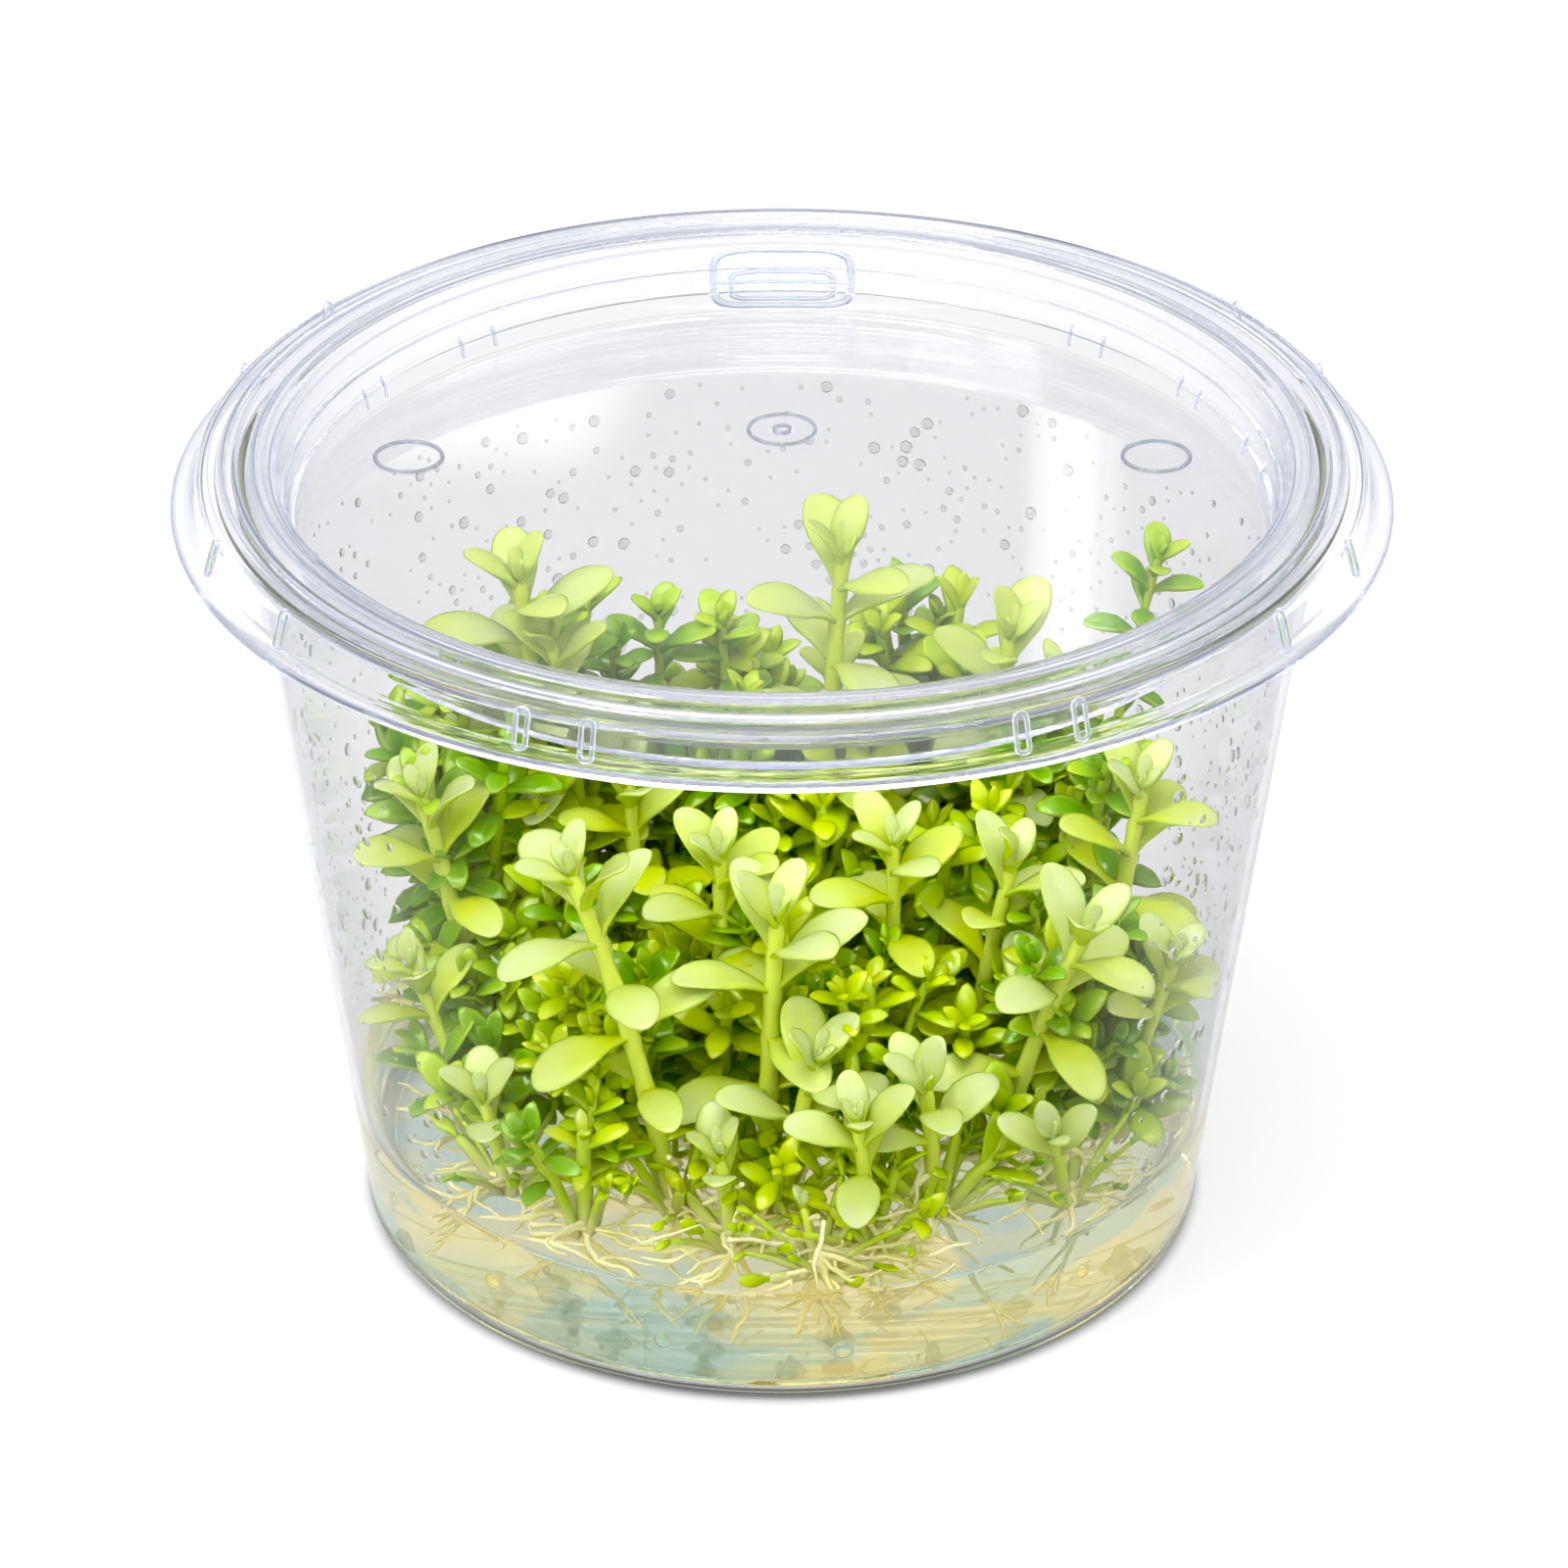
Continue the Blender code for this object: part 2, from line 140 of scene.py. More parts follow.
class Graph:
    """Adds nodes to one shader or geometry tree and joins them."""

    def __init__(self, tree):
        self.tree = tree

    def add(self, kind, settings=None, inputs=None):
        """A new node: its settings first, then a value or a link for each named or numbered input."""
        node = self.tree.nodes.new(kind)
        for name, value in (settings or {}).items():
            setattr(node, name, value)
        for name, value in (inputs or {}).items():
            self.feed(node, name, value)
        return node

    def find(self, sockets, name):
        if isinstance(name, int):
            return sockets[name]
        return next(s for s in sockets if s.name == name and not s.is_unavailable)

    def feed(self, node, name, value):
        target = self.find(node.inputs, name)
        if isinstance(value, Socket):
            self.tree.links.new(value.socket, target)
        else:
            target.default_value = value

    def out(self, node, name=0):
        return Socket(self, self.find(node.outputs, name))

    def maths(self, operation, *values):
        settings = {"operation": operation}
        return self.out(self.add("ShaderNodeMath", settings, dict(enumerate(values))))

    def mix_colours(self, share, first, second):
        inputs = {"Factor": share, "A": first, "B": second}
        return self.out(self.add("ShaderNodeMix", {"data_type": "RGBA"}, inputs), "Result")

    def spread(self, value, low, high):
        """A value carried smoothly from 0 at low to 1 at high."""
        settings = {"interpolation_type": "SMOOTHSTEP"}
        inputs = {"Value": value, "From Min": low, "From Max": high}
        return self.out(self.add("ShaderNodeMapRange", settings, inputs))

    def between(self, value, low, high, blur):
        """1 between low and high, with edges that fade inside them, and 0 beyond."""
        return self.spread(value, low, low + blur) * (1.0 - self.spread(value, high - blur, high))

    def noise(self, scale, detail, vector):
        inputs = {"Scale": scale, "Detail": detail, "Vector": vector}
        return self.out(self.add("ShaderNodeTexNoise", {}, inputs), "Fac")

    def split(self, vector):
        node = self.add("ShaderNodeSeparateXYZ", {}, {0: vector})
        return [self.out(node, axis) for axis in "XYZ"]

    def attribute(self, name):
        node = self.add("GeometryNodeInputNamedAttribute", {"data_type": "FLOAT"}, {"Name": name})
        return self.out(node, "Attribute")


def new_material(name, **constants):
    """A Principled material with its constant sockets set; gives the material, its graph and its shader."""
    material = bpy.data.materials.new(name)
    material.use_nodes = True
    shader = material.node_tree.nodes["Principled BSDF"]
    for socket, value in constants.items():
        shader.inputs[socket.replace("_", " ")].default_value = value
    return material, Graph(material.node_tree), shader


def object_place(graph):
    return graph.out(graph.add("ShaderNodeTexCoord"), "Object")


def reach_and_height(graph):
    """How far a point is from the cup's axis and how high, in metres."""
    x, y, height = graph.split(object_place(graph))
    return (x * x + y * y) ** 0.5, height


# The table is lit a little from below, in a wide round pool that fades out beyond the picture. Its glow is
# darkened in a narrow ring where the foot stands, a painted contact shadow.
TABLE_HALF = 4.0
POOL_WHITE = (1.0, 1.0, 1.0, 1.0)
POOL_EDGE = (0.22, 0.23, 0.27, 1.0)
FOOT_SHADE = (0.1, 0.11, 0.13, 1.0)
table_mesh = bpy.data.meshes.new("table")
table_corners = [(TABLE_HALF * a, TABLE_HALF * b, 0.0) for a, b in ((-1, -1), (1, -1), (1, 1), (-1, 1))]
table_mesh.from_pydata(table_corners, [], [(0, 1, 2, 3)])
table = new_object("table", table_mesh)
table_white, graph, shader = new_material(
    "table_white",
    Base_Color=(0.12, 0.12, 0.12, 1.0),
    Roughness=0.8,
    Emission_Strength=0.72,
)
reach, _ = reach_and_height(graph)
pool = graph.mix_colours(graph.spread(reach, 0.3, 0.5), POOL_WHITE, POOL_EDGE)
# Painted contact shadow: the glow is darkened in a ring round the foot.
painted_foot_shadow = graph.spread(reach, 0.0345, 0.0375) * (1.0 - graph.spread(reach, 0.0382, 0.0402))
pool = graph.mix_colours(painted_foot_shadow * 0.85, pool, FOOT_SHADE)
graph.feed(shader, "Emission Color", pool)
table_mesh.materials.append(table_white)

add_softbox("overhead_panel", (-0.1, -0.2, 1.3), 0.9, 0.9, 21.5)
add_softbox("left_panel", (-0.8, -0.6, 1.05), 0.7, 0.7, 19.0)
add_softbox("right_panel", (1.2, -0.3, 0.8), 0.8, 0.9, 6.0)
add_softbox("front_panel", (-0.3, -1.5, 1.25), 1.0, 0.8, 17.0)
add_softbox("left_spark", (-0.45, -0.55, 1.15), 0.12, 0.12, 2.2)
add_softbox("right_spark", (0.5, -0.45, 1.2), 0.12, 0.12, 1.6)

# The room round the studio glows softly, brightest overhead, and blue-grey at the horizon. That darker band
# draws the fine lilac lines in the rims, and two pale windows above it shine on the lid. A window has its
# left and right, its foot and top, the blur of its edges and how far it leans.
WINDOWS = (
    ((-0.083, -0.014), (0.476, 0.515), 0.014, 0.43),
    ((0.038, 0.052), (0.480, 0.560), 0.004, 0.0),
)
WINDOW_ROW = 0.485
HORIZON_GLOW = (0.25, 0.28, 0.38, 1.0)
ROOM_GLOW = (0.74, 0.75, 0.79, 1.0)
CEILING_GLOW = (2.0, 2.0, 2.0, 1.0)
WINDOW_GLOW = (2.6, 2.6, 2.6, 1.0)
world = bpy.data.worlds.new("studio")
scene.world = world
world.use_nodes = True
graph = Graph(world.node_tree)
across, ahead, lift = graph.split(graph.out(graph.add("ShaderNodeTexCoord"), "Generated"))
column = across / ahead
row = lift / ahead
glow = graph.mix_colours(graph.spread(lift, 0.12, 0.44), HORIZON_GLOW, ROOM_GLOW)
glow = graph.mix_colours(graph.spread(lift, 0.5, 0.85), glow, CEILING_GLOW)
for (left, right), (low, high), blur, lean in WINDOWS:
    leaning = column + lean * (row - WINDOW_ROW)
    across_it = graph.between(leaning, left, right, blur)
    up_it = graph.between(row, low, high, blur)
    glow = graph.mix_colours(across_it * up_it, glow, WINDOW_GLOW)
graph.feed(world.node_tree.nodes["Background"], "Color", glow)


# The cup is thin clear plastic moulded in one piece: a flat base with a narrow foot ring, a tapered wall
# and a flat rim that the lid grips. It carries the gel, and nothing but the lid touches it.
def new_mesh(name, points, edges, faces):
    """A mesh from points in millimetres."""
    mesh = bpy.data.meshes.new(name)
    mesh.from_pydata((np.asarray(points, float) * MM).tolist(), edges, faces)
    return mesh


def add_piece(name, vertices, faces, slot, *materials):
    """A new smooth-shaded piece at the origin from points in millimetres."""
    mesh = new_mesh(name, vertices, [], faces)
    for material in materials:
        mesh.materials.append(material)
    piece = new_object(name, mesh)
    mesh.shade_smooth()
    return piece


LONG_SIDE = 5.0
SUPPORT = 0.2


def rounded(corners, steps=6):
    """An outline with its corners eased, from radius, height and fillet; long sides are kept truly flat."""
    points = []
    for number, (radius, height, fillet) in enumerate(corners):
        corner = Vector((radius, height))
        if fillet == 0.0 or number in (0, len(corners) - 1):
            points.append(tuple(corner))
            continue
        before = Vector(corners[number - 1][:2]) - corner
        after = Vector(corners[number + 1][:2]) - corner
        start = corner + before.normalized() * min(fillet, 0.45 * before.length)
        finish = corner + after.normalized() * min(fillet, 0.45 * after.length)
        if before.length > LONG_SIDE:
            points.append(tuple(start + SUPPORT * before.normalized()))
        for step in range(steps + 1):
            t = step / steps
            points.append(tuple((1 - t) ** 2 * start + 2 * t * (1 - t) * corner + t * t * finish))
        if after.length > LONG_SIDE:
            points.append(tuple(finish + SUPPORT * after.normalized()))
    return points


def on_circle(radius, angle, height):
    return (radius * cos(angle), radius * sin(angle), height)


def turned(outline, sides):
    """Points and faces of a solid of revolution whose outline runs from the axis back to the axis."""
    angles = np.arange(sides) * tau / sides
    vertices = []
    rings = []
    for radius, height in outline:
        if radius == 0.0:
            rings.append([len(vertices)] * sides)
            vertices.append((0.0, 0.0, height))
        else:
            rings.append(list(range(len(vertices), len(vertices) + sides)))
            vertices.extend(on_circle(radius, angle, height) for angle in angles)
    faces = []
    for lower, upper in zip(rings, rings[1:]):
        for side in range(sides):
            following = (side + 1) % sides
            corners = (lower[side], lower[following], upper[following], upper[side])
            faces.append(tuple(dict.fromkeys(corners)))
    return vertices, faces


def painted_edge_lines(graph, shader, grey, line, sharpness):
    """Painted edge lines: the grey darkens where the eye meets the plastic edge-on, along its turns."""
    weight = graph.add("ShaderNodeLayerWeight", {}, {"Blend": 0.5})
    edge = graph.out(weight, "Facing") ** sharpness
    graph.feed(shader, "Base Color", graph.mix_colours(edge, grey, line))


def painted_step_lines(graph, value, steps, where, grey, line):
    """The grey, with a painted dark line at each moulded step; a step has a place, a half width and a
    strength.
    """
    share = 0.0
    for place, width, strength in steps:
        distance = graph.maths("ABSOLUTE", value - place * MM)
        share = graph.maths("MAXIMUM", share, (1.0 - graph.spread(distance, 0.0, width * MM)) * strength)
    return graph.mix_colours(share * where, grey, line)


ROUND_SIDES = 256
CUP_SLOPE = 0.1324
CUP_WALL = 0.75
CUP_BASE = 1.2
FOOT_RADIUS = 39.0
RIM_TOP_Z = 75.4
RIM_RADIUS = 50.9
RIM_LOW_Z = RIM_TOP_Z - 0.6
FOOT_STEPS = ((0.1, 0.45, 1.0), (1.35, 0.4, 1.0))
FOOT_PAINTED_LINE = (0.08, 0.11, 0.11, 1.0)
CUP_GREY = (0.89, 0.89, 0.895, 1.0)
CUP_PAINTED_LINE = (0.28, 0.31, 0.4, 1.0)


def cup_outer_radius(height):
    return FOOT_RADIUS + CUP_SLOPE * height


def cup_inner_radius(height):
    return cup_outer_radius(height) - CUP_WALL


cup_plastic, graph, shader = new_material(
    "cup_plastic",
    Specular_Tint=(0.1, 0.1, 0.1, 1.0),
    Transmission_Weight=1.0,
    IOR=1.28,
    Roughness=0.0,
)
reach, height = reach_and_height(graph)
# Painted lines: the foot's steps are darkened, standing in for the lines that refraction draws there.
on_foot_ring = graph.spread(reach, 37.8 * MM, 38.3 * MM)
grey = painted_step_lines(graph, height, FOOT_STEPS, on_foot_ring, CUP_GREY, FOOT_PAINTED_LINE)
# Painted shade: the cup's grey darkens into lines where its wall is seen edge-on.
painted_edge_lines(graph, shader, grey, CUP_PAINTED_LINE, 3.4)
cup_outline = rounded((
    (0.0, 0.35, 0.0),
    (36.6, 0.35, 0.3),
    (36.9, 0.0, 0.15),
    (38.3, 0.0, 0.3),
    (38.8, 0.45, 0.1),
    (38.6, 0.75, 0.1),
    (39.15, 0.95, 0.1),
    (39.0, 1.3, 0.1),
    (39.4, 1.5, 0.1),
    (cup_outer_radius(2.3), 2.3, 0.3),
    (cup_outer_radius(RIM_LOW_Z), RIM_LOW_Z, 0.4),
    (RIM_RADIUS, RIM_LOW_Z, 0.25),
    (RIM_RADIUS, RIM_TOP_Z, 0.25),
    (cup_inner_radius(RIM_TOP_Z), RIM_TOP_Z, 0.5),
    (cup_inner_radius(CUP_BASE), CUP_BASE, 2.4),
    (0.0, CUP_BASE, 0.0),
))
cup = add_piece("clear_cup", *turned(cup_outline, ROUND_SIDES), "clear_plastic", cup_plastic)
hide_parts("cup")
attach(cup, "root")

# The lid is moulded from the same clear plastic: a flat panel sunk inside the cup, a stepped wall up to a
# double-ridged ring that covers the rim, a skirt and a flared lip. It is pushed on and holds by its spring.
# The panel, ribs and beads take greyer copies of the ring's plastic, as painted shade; the ribs' stronger
# glow is a painted highlight on their outlines.
PANEL_GREY = (0.81, 0.81, 0.815, 1.0)
RING_GREY = (0.95, 0.955, 0.965, 1.0)
RIB_GREY = (0.68, 0.7, 0.76, 1.0)
BEAD_GREY = (0.55, 0.57, 0.64, 1.0)
LID_PAINTED_LINE = (0.27, 0.31, 0.5, 1.0)
GLOW_COLOUR = (0.86, 0.89, 1.0, 1.0)
LID_GLOW = 0.007
RIB_GLOW = 0.09
PANEL_REACH = 44.4
WALL_START = 44.0
RING_START = 45.8
LID_THICKNESS = 0.72
LID_PANEL_Z = 69.2
lid_middle_line = rounded((
    (0.0, LID_PANEL_Z - 0.5 * LID_THICKNESS, 0.0),
    (43.95, LID_PANEL_Z - 0.5 * LID_THICKNESS, 0.5),
    (44.25, 71.05, 0.25),
    (44.75, 71.25, 0.25),
    (44.95, 73.15, 0.25),
    (45.4, 73.35, 0.25),
    (45.75, 76.65, 0.7),
    (47.2, 76.62, 0.3),
    (47.55, 76.2, 0.3),
    (49.0, 76.15, 0.3),
    (49.35, 76.45, 0.3),
    (50.0, 76.45, 0.3),
    (50.35, 76.05, 0.3),
    (52.2, 75.85, 0.6),
    (53.0, 73.0, 0.5),
    (54.65, 72.45, 0.0),
), 5)


def shell_outline(middle_line, thickness):
    """The closed outline of a thin shell round its middle line, with a round free edge."""
    line = np.array(middle_line)
    ways = np.gradient(line, axis=0)
    ways /= np.linalg.norm(ways, axis=1)[:, None]
    ways[0] = (1.0, 0.0)
    normals = np.stack((ways[:, 1], -ways[:, 0]), axis=1)
    below = line + 0.5 * thickness * normals
    above = line - 0.5 * thickness * normals
    below[0, 0] = above[0, 0] = 0.0
    edge = [
        line[-1] + 0.5 * thickness * (sin(a) * ways[-1] + cos(a) * normals[-1])
        for a in (0.25 * pi, 0.5 * pi, 0.75 * pi)
    ]
    return [tuple(point) for point in (*below, *edge, *above[::-1])]


RING_STEPS = (
    (46.5, 0.35, 0.5),
    (47.4, 0.25, 0.9),
    (49.2, 0.25, 0.9),
    (50.2, 0.22, 0.8),
    (51.5, 0.2, 0.6),
    (53.5, 0.2, 0.4),
    (54.7, 0.3, 0.9),
)
WALL_STEPS = ((71.15, 0.18, 0.9), (73.25, 0.18, 0.9), (75.6, 0.3, 0.7))


def lid_material(name, grey, glow=LID_GLOW):
    """Clear plastic with the grey that is seen square on, a little painted glow for light scattered in it,
    and painted lines.
    """
    material, graph, shader = new_material(
        name,
        Emission_Color=GLOW_COLOUR,
        Emission_Strength=glow,
        Specular_Tint=(0.5, 0.5, 0.5, 1.0),
        Transmission_Weight=1.0,
        IOR=1.46,
        Roughness=0.0,
    )
    reach, height = reach_and_height(graph)
    ring = graph.spread(reach, RING_START * MM, (RING_START + 0.2) * MM)
    wall = graph.spread(reach, WALL_START * MM, (WALL_START + 0.2) * MM) * (1.0 - ring)
    # Painted lines at the ring's and wall's steps, their strength varied by noise.
    strength = 0.45 + 0.55 * graph.spread(graph.noise(22.0, 1.0, object_place(graph)), 0.4, 0.6)
    grey = painted_step_lines(graph, reach, RING_STEPS, ring * strength, grey, LID_PAINTED_LINE)
    grey = painted_step_lines(graph, height, WALL_STEPS, wall * strength, grey, LID_PAINTED_LINE)
    painted_edge_lines(graph, shader, grey, LID_PAINTED_LINE, 4.0)
    return material


panel_plastic = lid_material("panel_plastic", PANEL_GREY)
ring_plastic = lid_material("ring_plastic", RING_GREY)
rib_plastic = lid_material("rib_plastic", RIB_GREY, RIB_GLOW)
bead_plastic = lid_material("bead_plastic", BEAD_GREY)
lid_shape = turned(shell_outline(lid_middle_line, LID_THICKNESS), ROUND_SIDES)
lid = add_piece("clear_lid", *lid_shape, "clear_plastic", panel_plastic, ring_plastic)
for face in lid.data.polygons:
    face.material_index = int(hypot(face.center.x, face.center.y) > PANEL_REACH * MM)
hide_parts("lid")
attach(lid, "root")


# Fine beads are moulded on the lid: pill-shaped ribs on the skirt that space it from the rim, uprights on
# its inner wall, a catch of two loops and a bar at the back, and gate circles on the panel.
def geometry_graph(name, **sizes):
    """A geometry tree with a Geometry input and output and one named input for each size."""
    tree = bpy.data.node_groups.new(name, "GeometryNodeTree")
    for way in ("OUTPUT", "INPUT"):
        tree.interface.new_socket("Geometry", in_out=way, socket_type="NodeSocketGeometry")
    kinds = {int: "NodeSocketInt", float: "NodeSocketFloat"}
    for label, value in sizes.items():
        tree.interface.new_socket(label, in_out="INPUT", socket_type=kinds[type(value)])
    graph = Graph(tree)
    return graph, graph.add("NodeGroupInput")


def finish_tree(graph, shape, material):
    """Ends a geometry tree with real geometry that carries its material."""
    real = graph.out(graph.add("GeometryNodeRealizeInstances", {}, {"Geometry": shape}))
    smooth = graph.out(graph.add("GeometryNodeSetShadeSmooth", {}, {"Geometry": real}))
    skinned = graph.add("GeometryNodeSetMaterial", {}, {"Geometry": smooth, "Material": material})
    graph.add("NodeGroupOutput", {}, {"Geometry": graph.out(skinned)})


def grown_piece(name, guide, graph, slot, **sizes):
    """The plain mesh that a geometry tree makes on a guide mesh, as a piece riding on the one body."""
    holder = new_object(name, guide)
    modifier = holder.modifiers.new("shape", "NODES")
    modifier.node_group = graph.tree
    for item in graph.tree.interface.items_tree:
        if item.in_out == "INPUT" and item.name in sizes:
            modifier[item.identifier] = sizes[item.name]
    depsgraph = bpy.context.evaluated_depsgraph_get()
    mesh = bpy.data.meshes.new_from_object(holder.evaluated_get(depsgraph), depsgraph=depsgraph)
    holder.modifiers.remove(modifier)
    holder.data = mesh
    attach(holder, "root")


def swept_piece(name, threads, sides, slot, material):
    """Round threads swept along lines of points in millimetres, each point with its own radius."""
    points = []
    edges = []
    radii = []
    for line, thickness in threads:
        first = len(points)
        points.extend(line)
        radii.extend(thickness)
        edges.extend((first + step, first + step + 1) for step in range(len(line) - 1))
        if line[0] == line[-1]:
            points.pop()
            radii.pop()
            edges[-1] = (edges[-1][0], first)
    guide = new_mesh(name, points, edges, [])
    guide.attributes.new("thickness", "FLOAT", "POINT").data.foreach_set("value", radii)
    graph, source = geometry_graph(name, Sides=sides)
    lines = graph.add("GeometryNodeMeshToCurve", {}, {"Mesh": graph.out(source, "Geometry")})
    circle = graph.add("GeometryNodeCurvePrimitiveCircle", {}, {
        "Resolution": graph.out(source, "Sides"),
        "Radius": MM,
    })
    tubes = graph.add("GeometryNodeCurveToMesh", {}, {
        "Curve": graph.out(lines),
        "Profile Curve": graph.out(circle),
        "Scale": graph.attribute("thickness"),
        "Fill Caps": True,
    })
    finish_tree(graph, graph.out(tubes), material)
    grown_piece(name, guide, graph, slot, Sides=sides)


RIB_ANGLES = (-24.5, -18.0, 22.4, 28.4, -71.0, -54.6, 54.6, 71.0, 110.0, 126.0, -110.0, -126.0)
RIB_WIDTH = 1.1
RIB_BOTTOM_Z = 72.8
RIB_TOP_Z = 76.3
BEAD_RADIUS = 0.25
RIB_STEPS = 24
SKIRT_RADIUS = 53.3
SKIRT_SLOPE = 0.28
SKIRT_FOOT_Z = 73.2
GATE_CIRCLES = ((0.0, 18.3, 3.1), (-34.3, 12.7, 3.1), (34.4, 12.8, 3.1), (0.0, 18.3, 0.8))
GATE_STEPS = 40
FINE_BEAD = 0.2
CATCH_LOOPS = ((6.6, 69.7, 75.0, 0.42), (4.9, 70.3, 72.9, 0.3))
CATCH_STEPS = 48
CATCH_BAR_Z = 71.9
CATCH_BAR_HALF = 6.6
CATCH_BAR_STEP = 0.66
UPRIGHT_ANGLES = (38.0, 43.0, 57.0, 61.0, 74.0, 82.0, -38.0, -43.0, -57.0, -61.0)
UPRIGHT_LOW_Z = 69.9
UPRIGHT_HIGH_Z = 71.9
UPRIGHT_RADIUS = 0.22
INNER_WALL_SLOPE = 0.2


def even_turns(steps):
    """The turns at which a closed line has its points, with the first again as the last."""
    return [tau * step / steps for step in range(steps)] + [0.0]


def bead(line, radius=BEAD_RADIUS):
    return line, [radius] * len(line)


def rib_outline(angle):
    """A closed pill on the skirt, at an angle from the front towards the right."""
    half = 0.5 * RIB_WIDTH
    line = []
    for turn in even_turns(RIB_STEPS):
        rise = half * sin(turn)
        height = (RIB_TOP_Z - half if rise > 0.0 else RIB_BOTTOM_Z + half) + rise
        radius = SKIRT_RADIUS - SKIRT_SLOPE * (height - SKIRT_FOOT_Z)
        heading = radians(angle - 90.0) + half * cos(turn) / radius
        line.append(on_circle(radius, heading, height))
    return bead(line)


def gate_circle(x, y, radius):
    """A circle laid on the lid's panel."""
    turns = even_turns(GATE_STEPS)
    height = LID_PANEL_Z + 0.5 * FINE_BEAD
    return bead([(x + radius * cos(a), y + radius * sin(a), height) for a in turns], FINE_BEAD)


def inner_wall_radius(height):
    return WALL_START + INNER_WALL_SLOPE * (height - LID_PANEL_Z)


def upright(angle):
    """A short upright bead on the lid's inner wall, at an angle from the back towards the right."""
    heading = radians(90.0 - angle)
    levels = [UPRIGHT_LOW_Z + (UPRIGHT_HIGH_Z - UPRIGHT_LOW_Z) * step / 6 for step in range(7)]
    return bead([on_circle(inner_wall_radius(z), heading, z) for z in levels], UPRIGHT_RADIUS)


def on_inner_wall(offset, height):
    """The point of the lid's inner wall at the back, at a distance to the right of its middle."""
    radius = inner_wall_radius(height)
    return (radius * sin(offset / radius), radius * cos(offset / radius), height)


def catch_loop(half, low, high, radius):
    """A bead round the catch: a rectangle with round corners, laid on the lid's inner wall."""
    middle = 0.5 * (low + high)
    line = []
    for turn in even_turns(CATCH_STEPS):
        squarish = [copysign(abs(value) ** 0.4, value) for value in (cos(turn), sin(turn))]
        line.append(on_inner_wall(half * squarish[0], middle + 0.5 * (high - low) * squarish[1]))
    return bead(line, radius)


lid_beads = [rib_outline(angle) for angle in RIB_ANGLES]
lid_beads += [upright(angle) for angle in UPRIGHT_ANGLES]
lid_beads += [catch_loop(*loop) for loop in CATCH_LOOPS]
catch_bar = [on_inner_wall(CATCH_BAR_STEP * step - CATCH_BAR_HALF, CATCH_BAR_Z) for step in range(21)]
lid_beads.append(bead(catch_bar, FINE_BEAD))
swept_piece("lid_beads", lid_beads, 8, "clear_plastic", rib_plastic)
gate_circles = [gate_circle(*circle) for circle in GATE_CIRCLES]
swept_piece("gate_circles", gate_circles, 8, "clear_plastic", bead_plastic)

# The gel is set nutrient jelly poured into the cup, clear and faintly tinted, with a painted glow and
# painted cream and teal patches of light and shade. It creeps up the wall in a small meniscus, and a few
# bubbles are caught in it.
GEL_TOP_Z = 11.3
GEL_PRESS = 0.03
MENISCUS_RISE = 1.1
MENISCUS_LIP = 0.45
BUBBLE_LEVELS = 8
BUBBLE_SIDES = 14
BUBBLES = (
    (-25.6, -26.8, 5.6, 0.95),
    (-10.6, -36.2, 5.2, 0.9),
    (5.4, -36.6, 4.6, 1.05),
    (26.5, -26.0, 6.2, 0.85),
    (-34.0, -14.0, 6.5, 0.8),
)
gel_clear, graph, shader = new_material(
    "gel_clear",
    Transmission_Weight=0.96,
    IOR=1.35,
    Roughness=0.0,
    Emission_Strength=0.115,
)
# Painted light: the gel glows a little, and its cream and teal patches are painted light and shade.
stretched = graph.add("ShaderNodeMapping", {}, {"Vector": object_place(graph), "Scale": (1.0, 1.3, 3.4)})
cloud = graph.noise(42.0, 2.0, graph.out(stretched))
painted_light_patches = graph.spread(cloud, 0.485, 0.53)
graph.feed(shader, "Base Color", graph.mix_colours(painted_light_patches, paint("DDEBE2"), paint("FFF6CC")))
graph.feed(shader, "Emission Color", graph.mix_colours(painted_light_patches, paint("A8C4BC"), paint("F8E490")))
gel_edge = cup_inner_radius(GEL_TOP_Z) + GEL_PRESS
lip_z = GEL_TOP_Z + MENISCUS_RISE
gel_outline = rounded((
    (0.0, CUP_BASE - GEL_PRESS, 0.0),
    (cup_inner_radius(CUP_BASE) + 0.02, CUP_BASE - GEL_PRESS, 2.4),
    (cup_inner_radius(lip_z) + GEL_PRESS, lip_z, 0.1),
    (cup_inner_radius(lip_z) - MENISCUS_LIP, lip_z - 0.05, 0.2),
    (gel_edge - 1.2, GEL_TOP_Z + 0.05, 0.6),
    (gel_edge - 3.0, GEL_TOP_Z, 0.9),
    (0.0, GEL_TOP_Z, 0.0),
))


def ball(middle, radius):
    """Points and faces of the hollow that a bubble leaves; its faces point into it, out of the gel."""
    turns = [pi * step / BUBBLE_LEVELS for step in range(BUBBLE_LEVELS + 1)]
    outline = [(radius * sin(turn), -radius * cos(turn)) for turn in turns]
    outline[0], outline[-1] = (0.0, -radius), (0.0, radius)
    points, faces = turned(outline, BUBBLE_SIDES)
    places = [(middle[0] + x, middle[1] + y, middle[2] + z) for x, y, z in points]
    return places, [tuple(reversed(face)) for face in faces]


gel_points, gel_faces = turned(gel_outline, ROUND_SIDES)
for *middle, radius in BUBBLES:
    points, faces = ball(middle, radius)
    gel_faces.extend(tuple(len(gel_points) + corner for corner in face) for face in faces)
    gel_points.extend(points)
gel = add_piece("set_gel", gel_points, gel_faces, "gel", gel_clear)
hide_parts("gel")
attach(gel, "root")

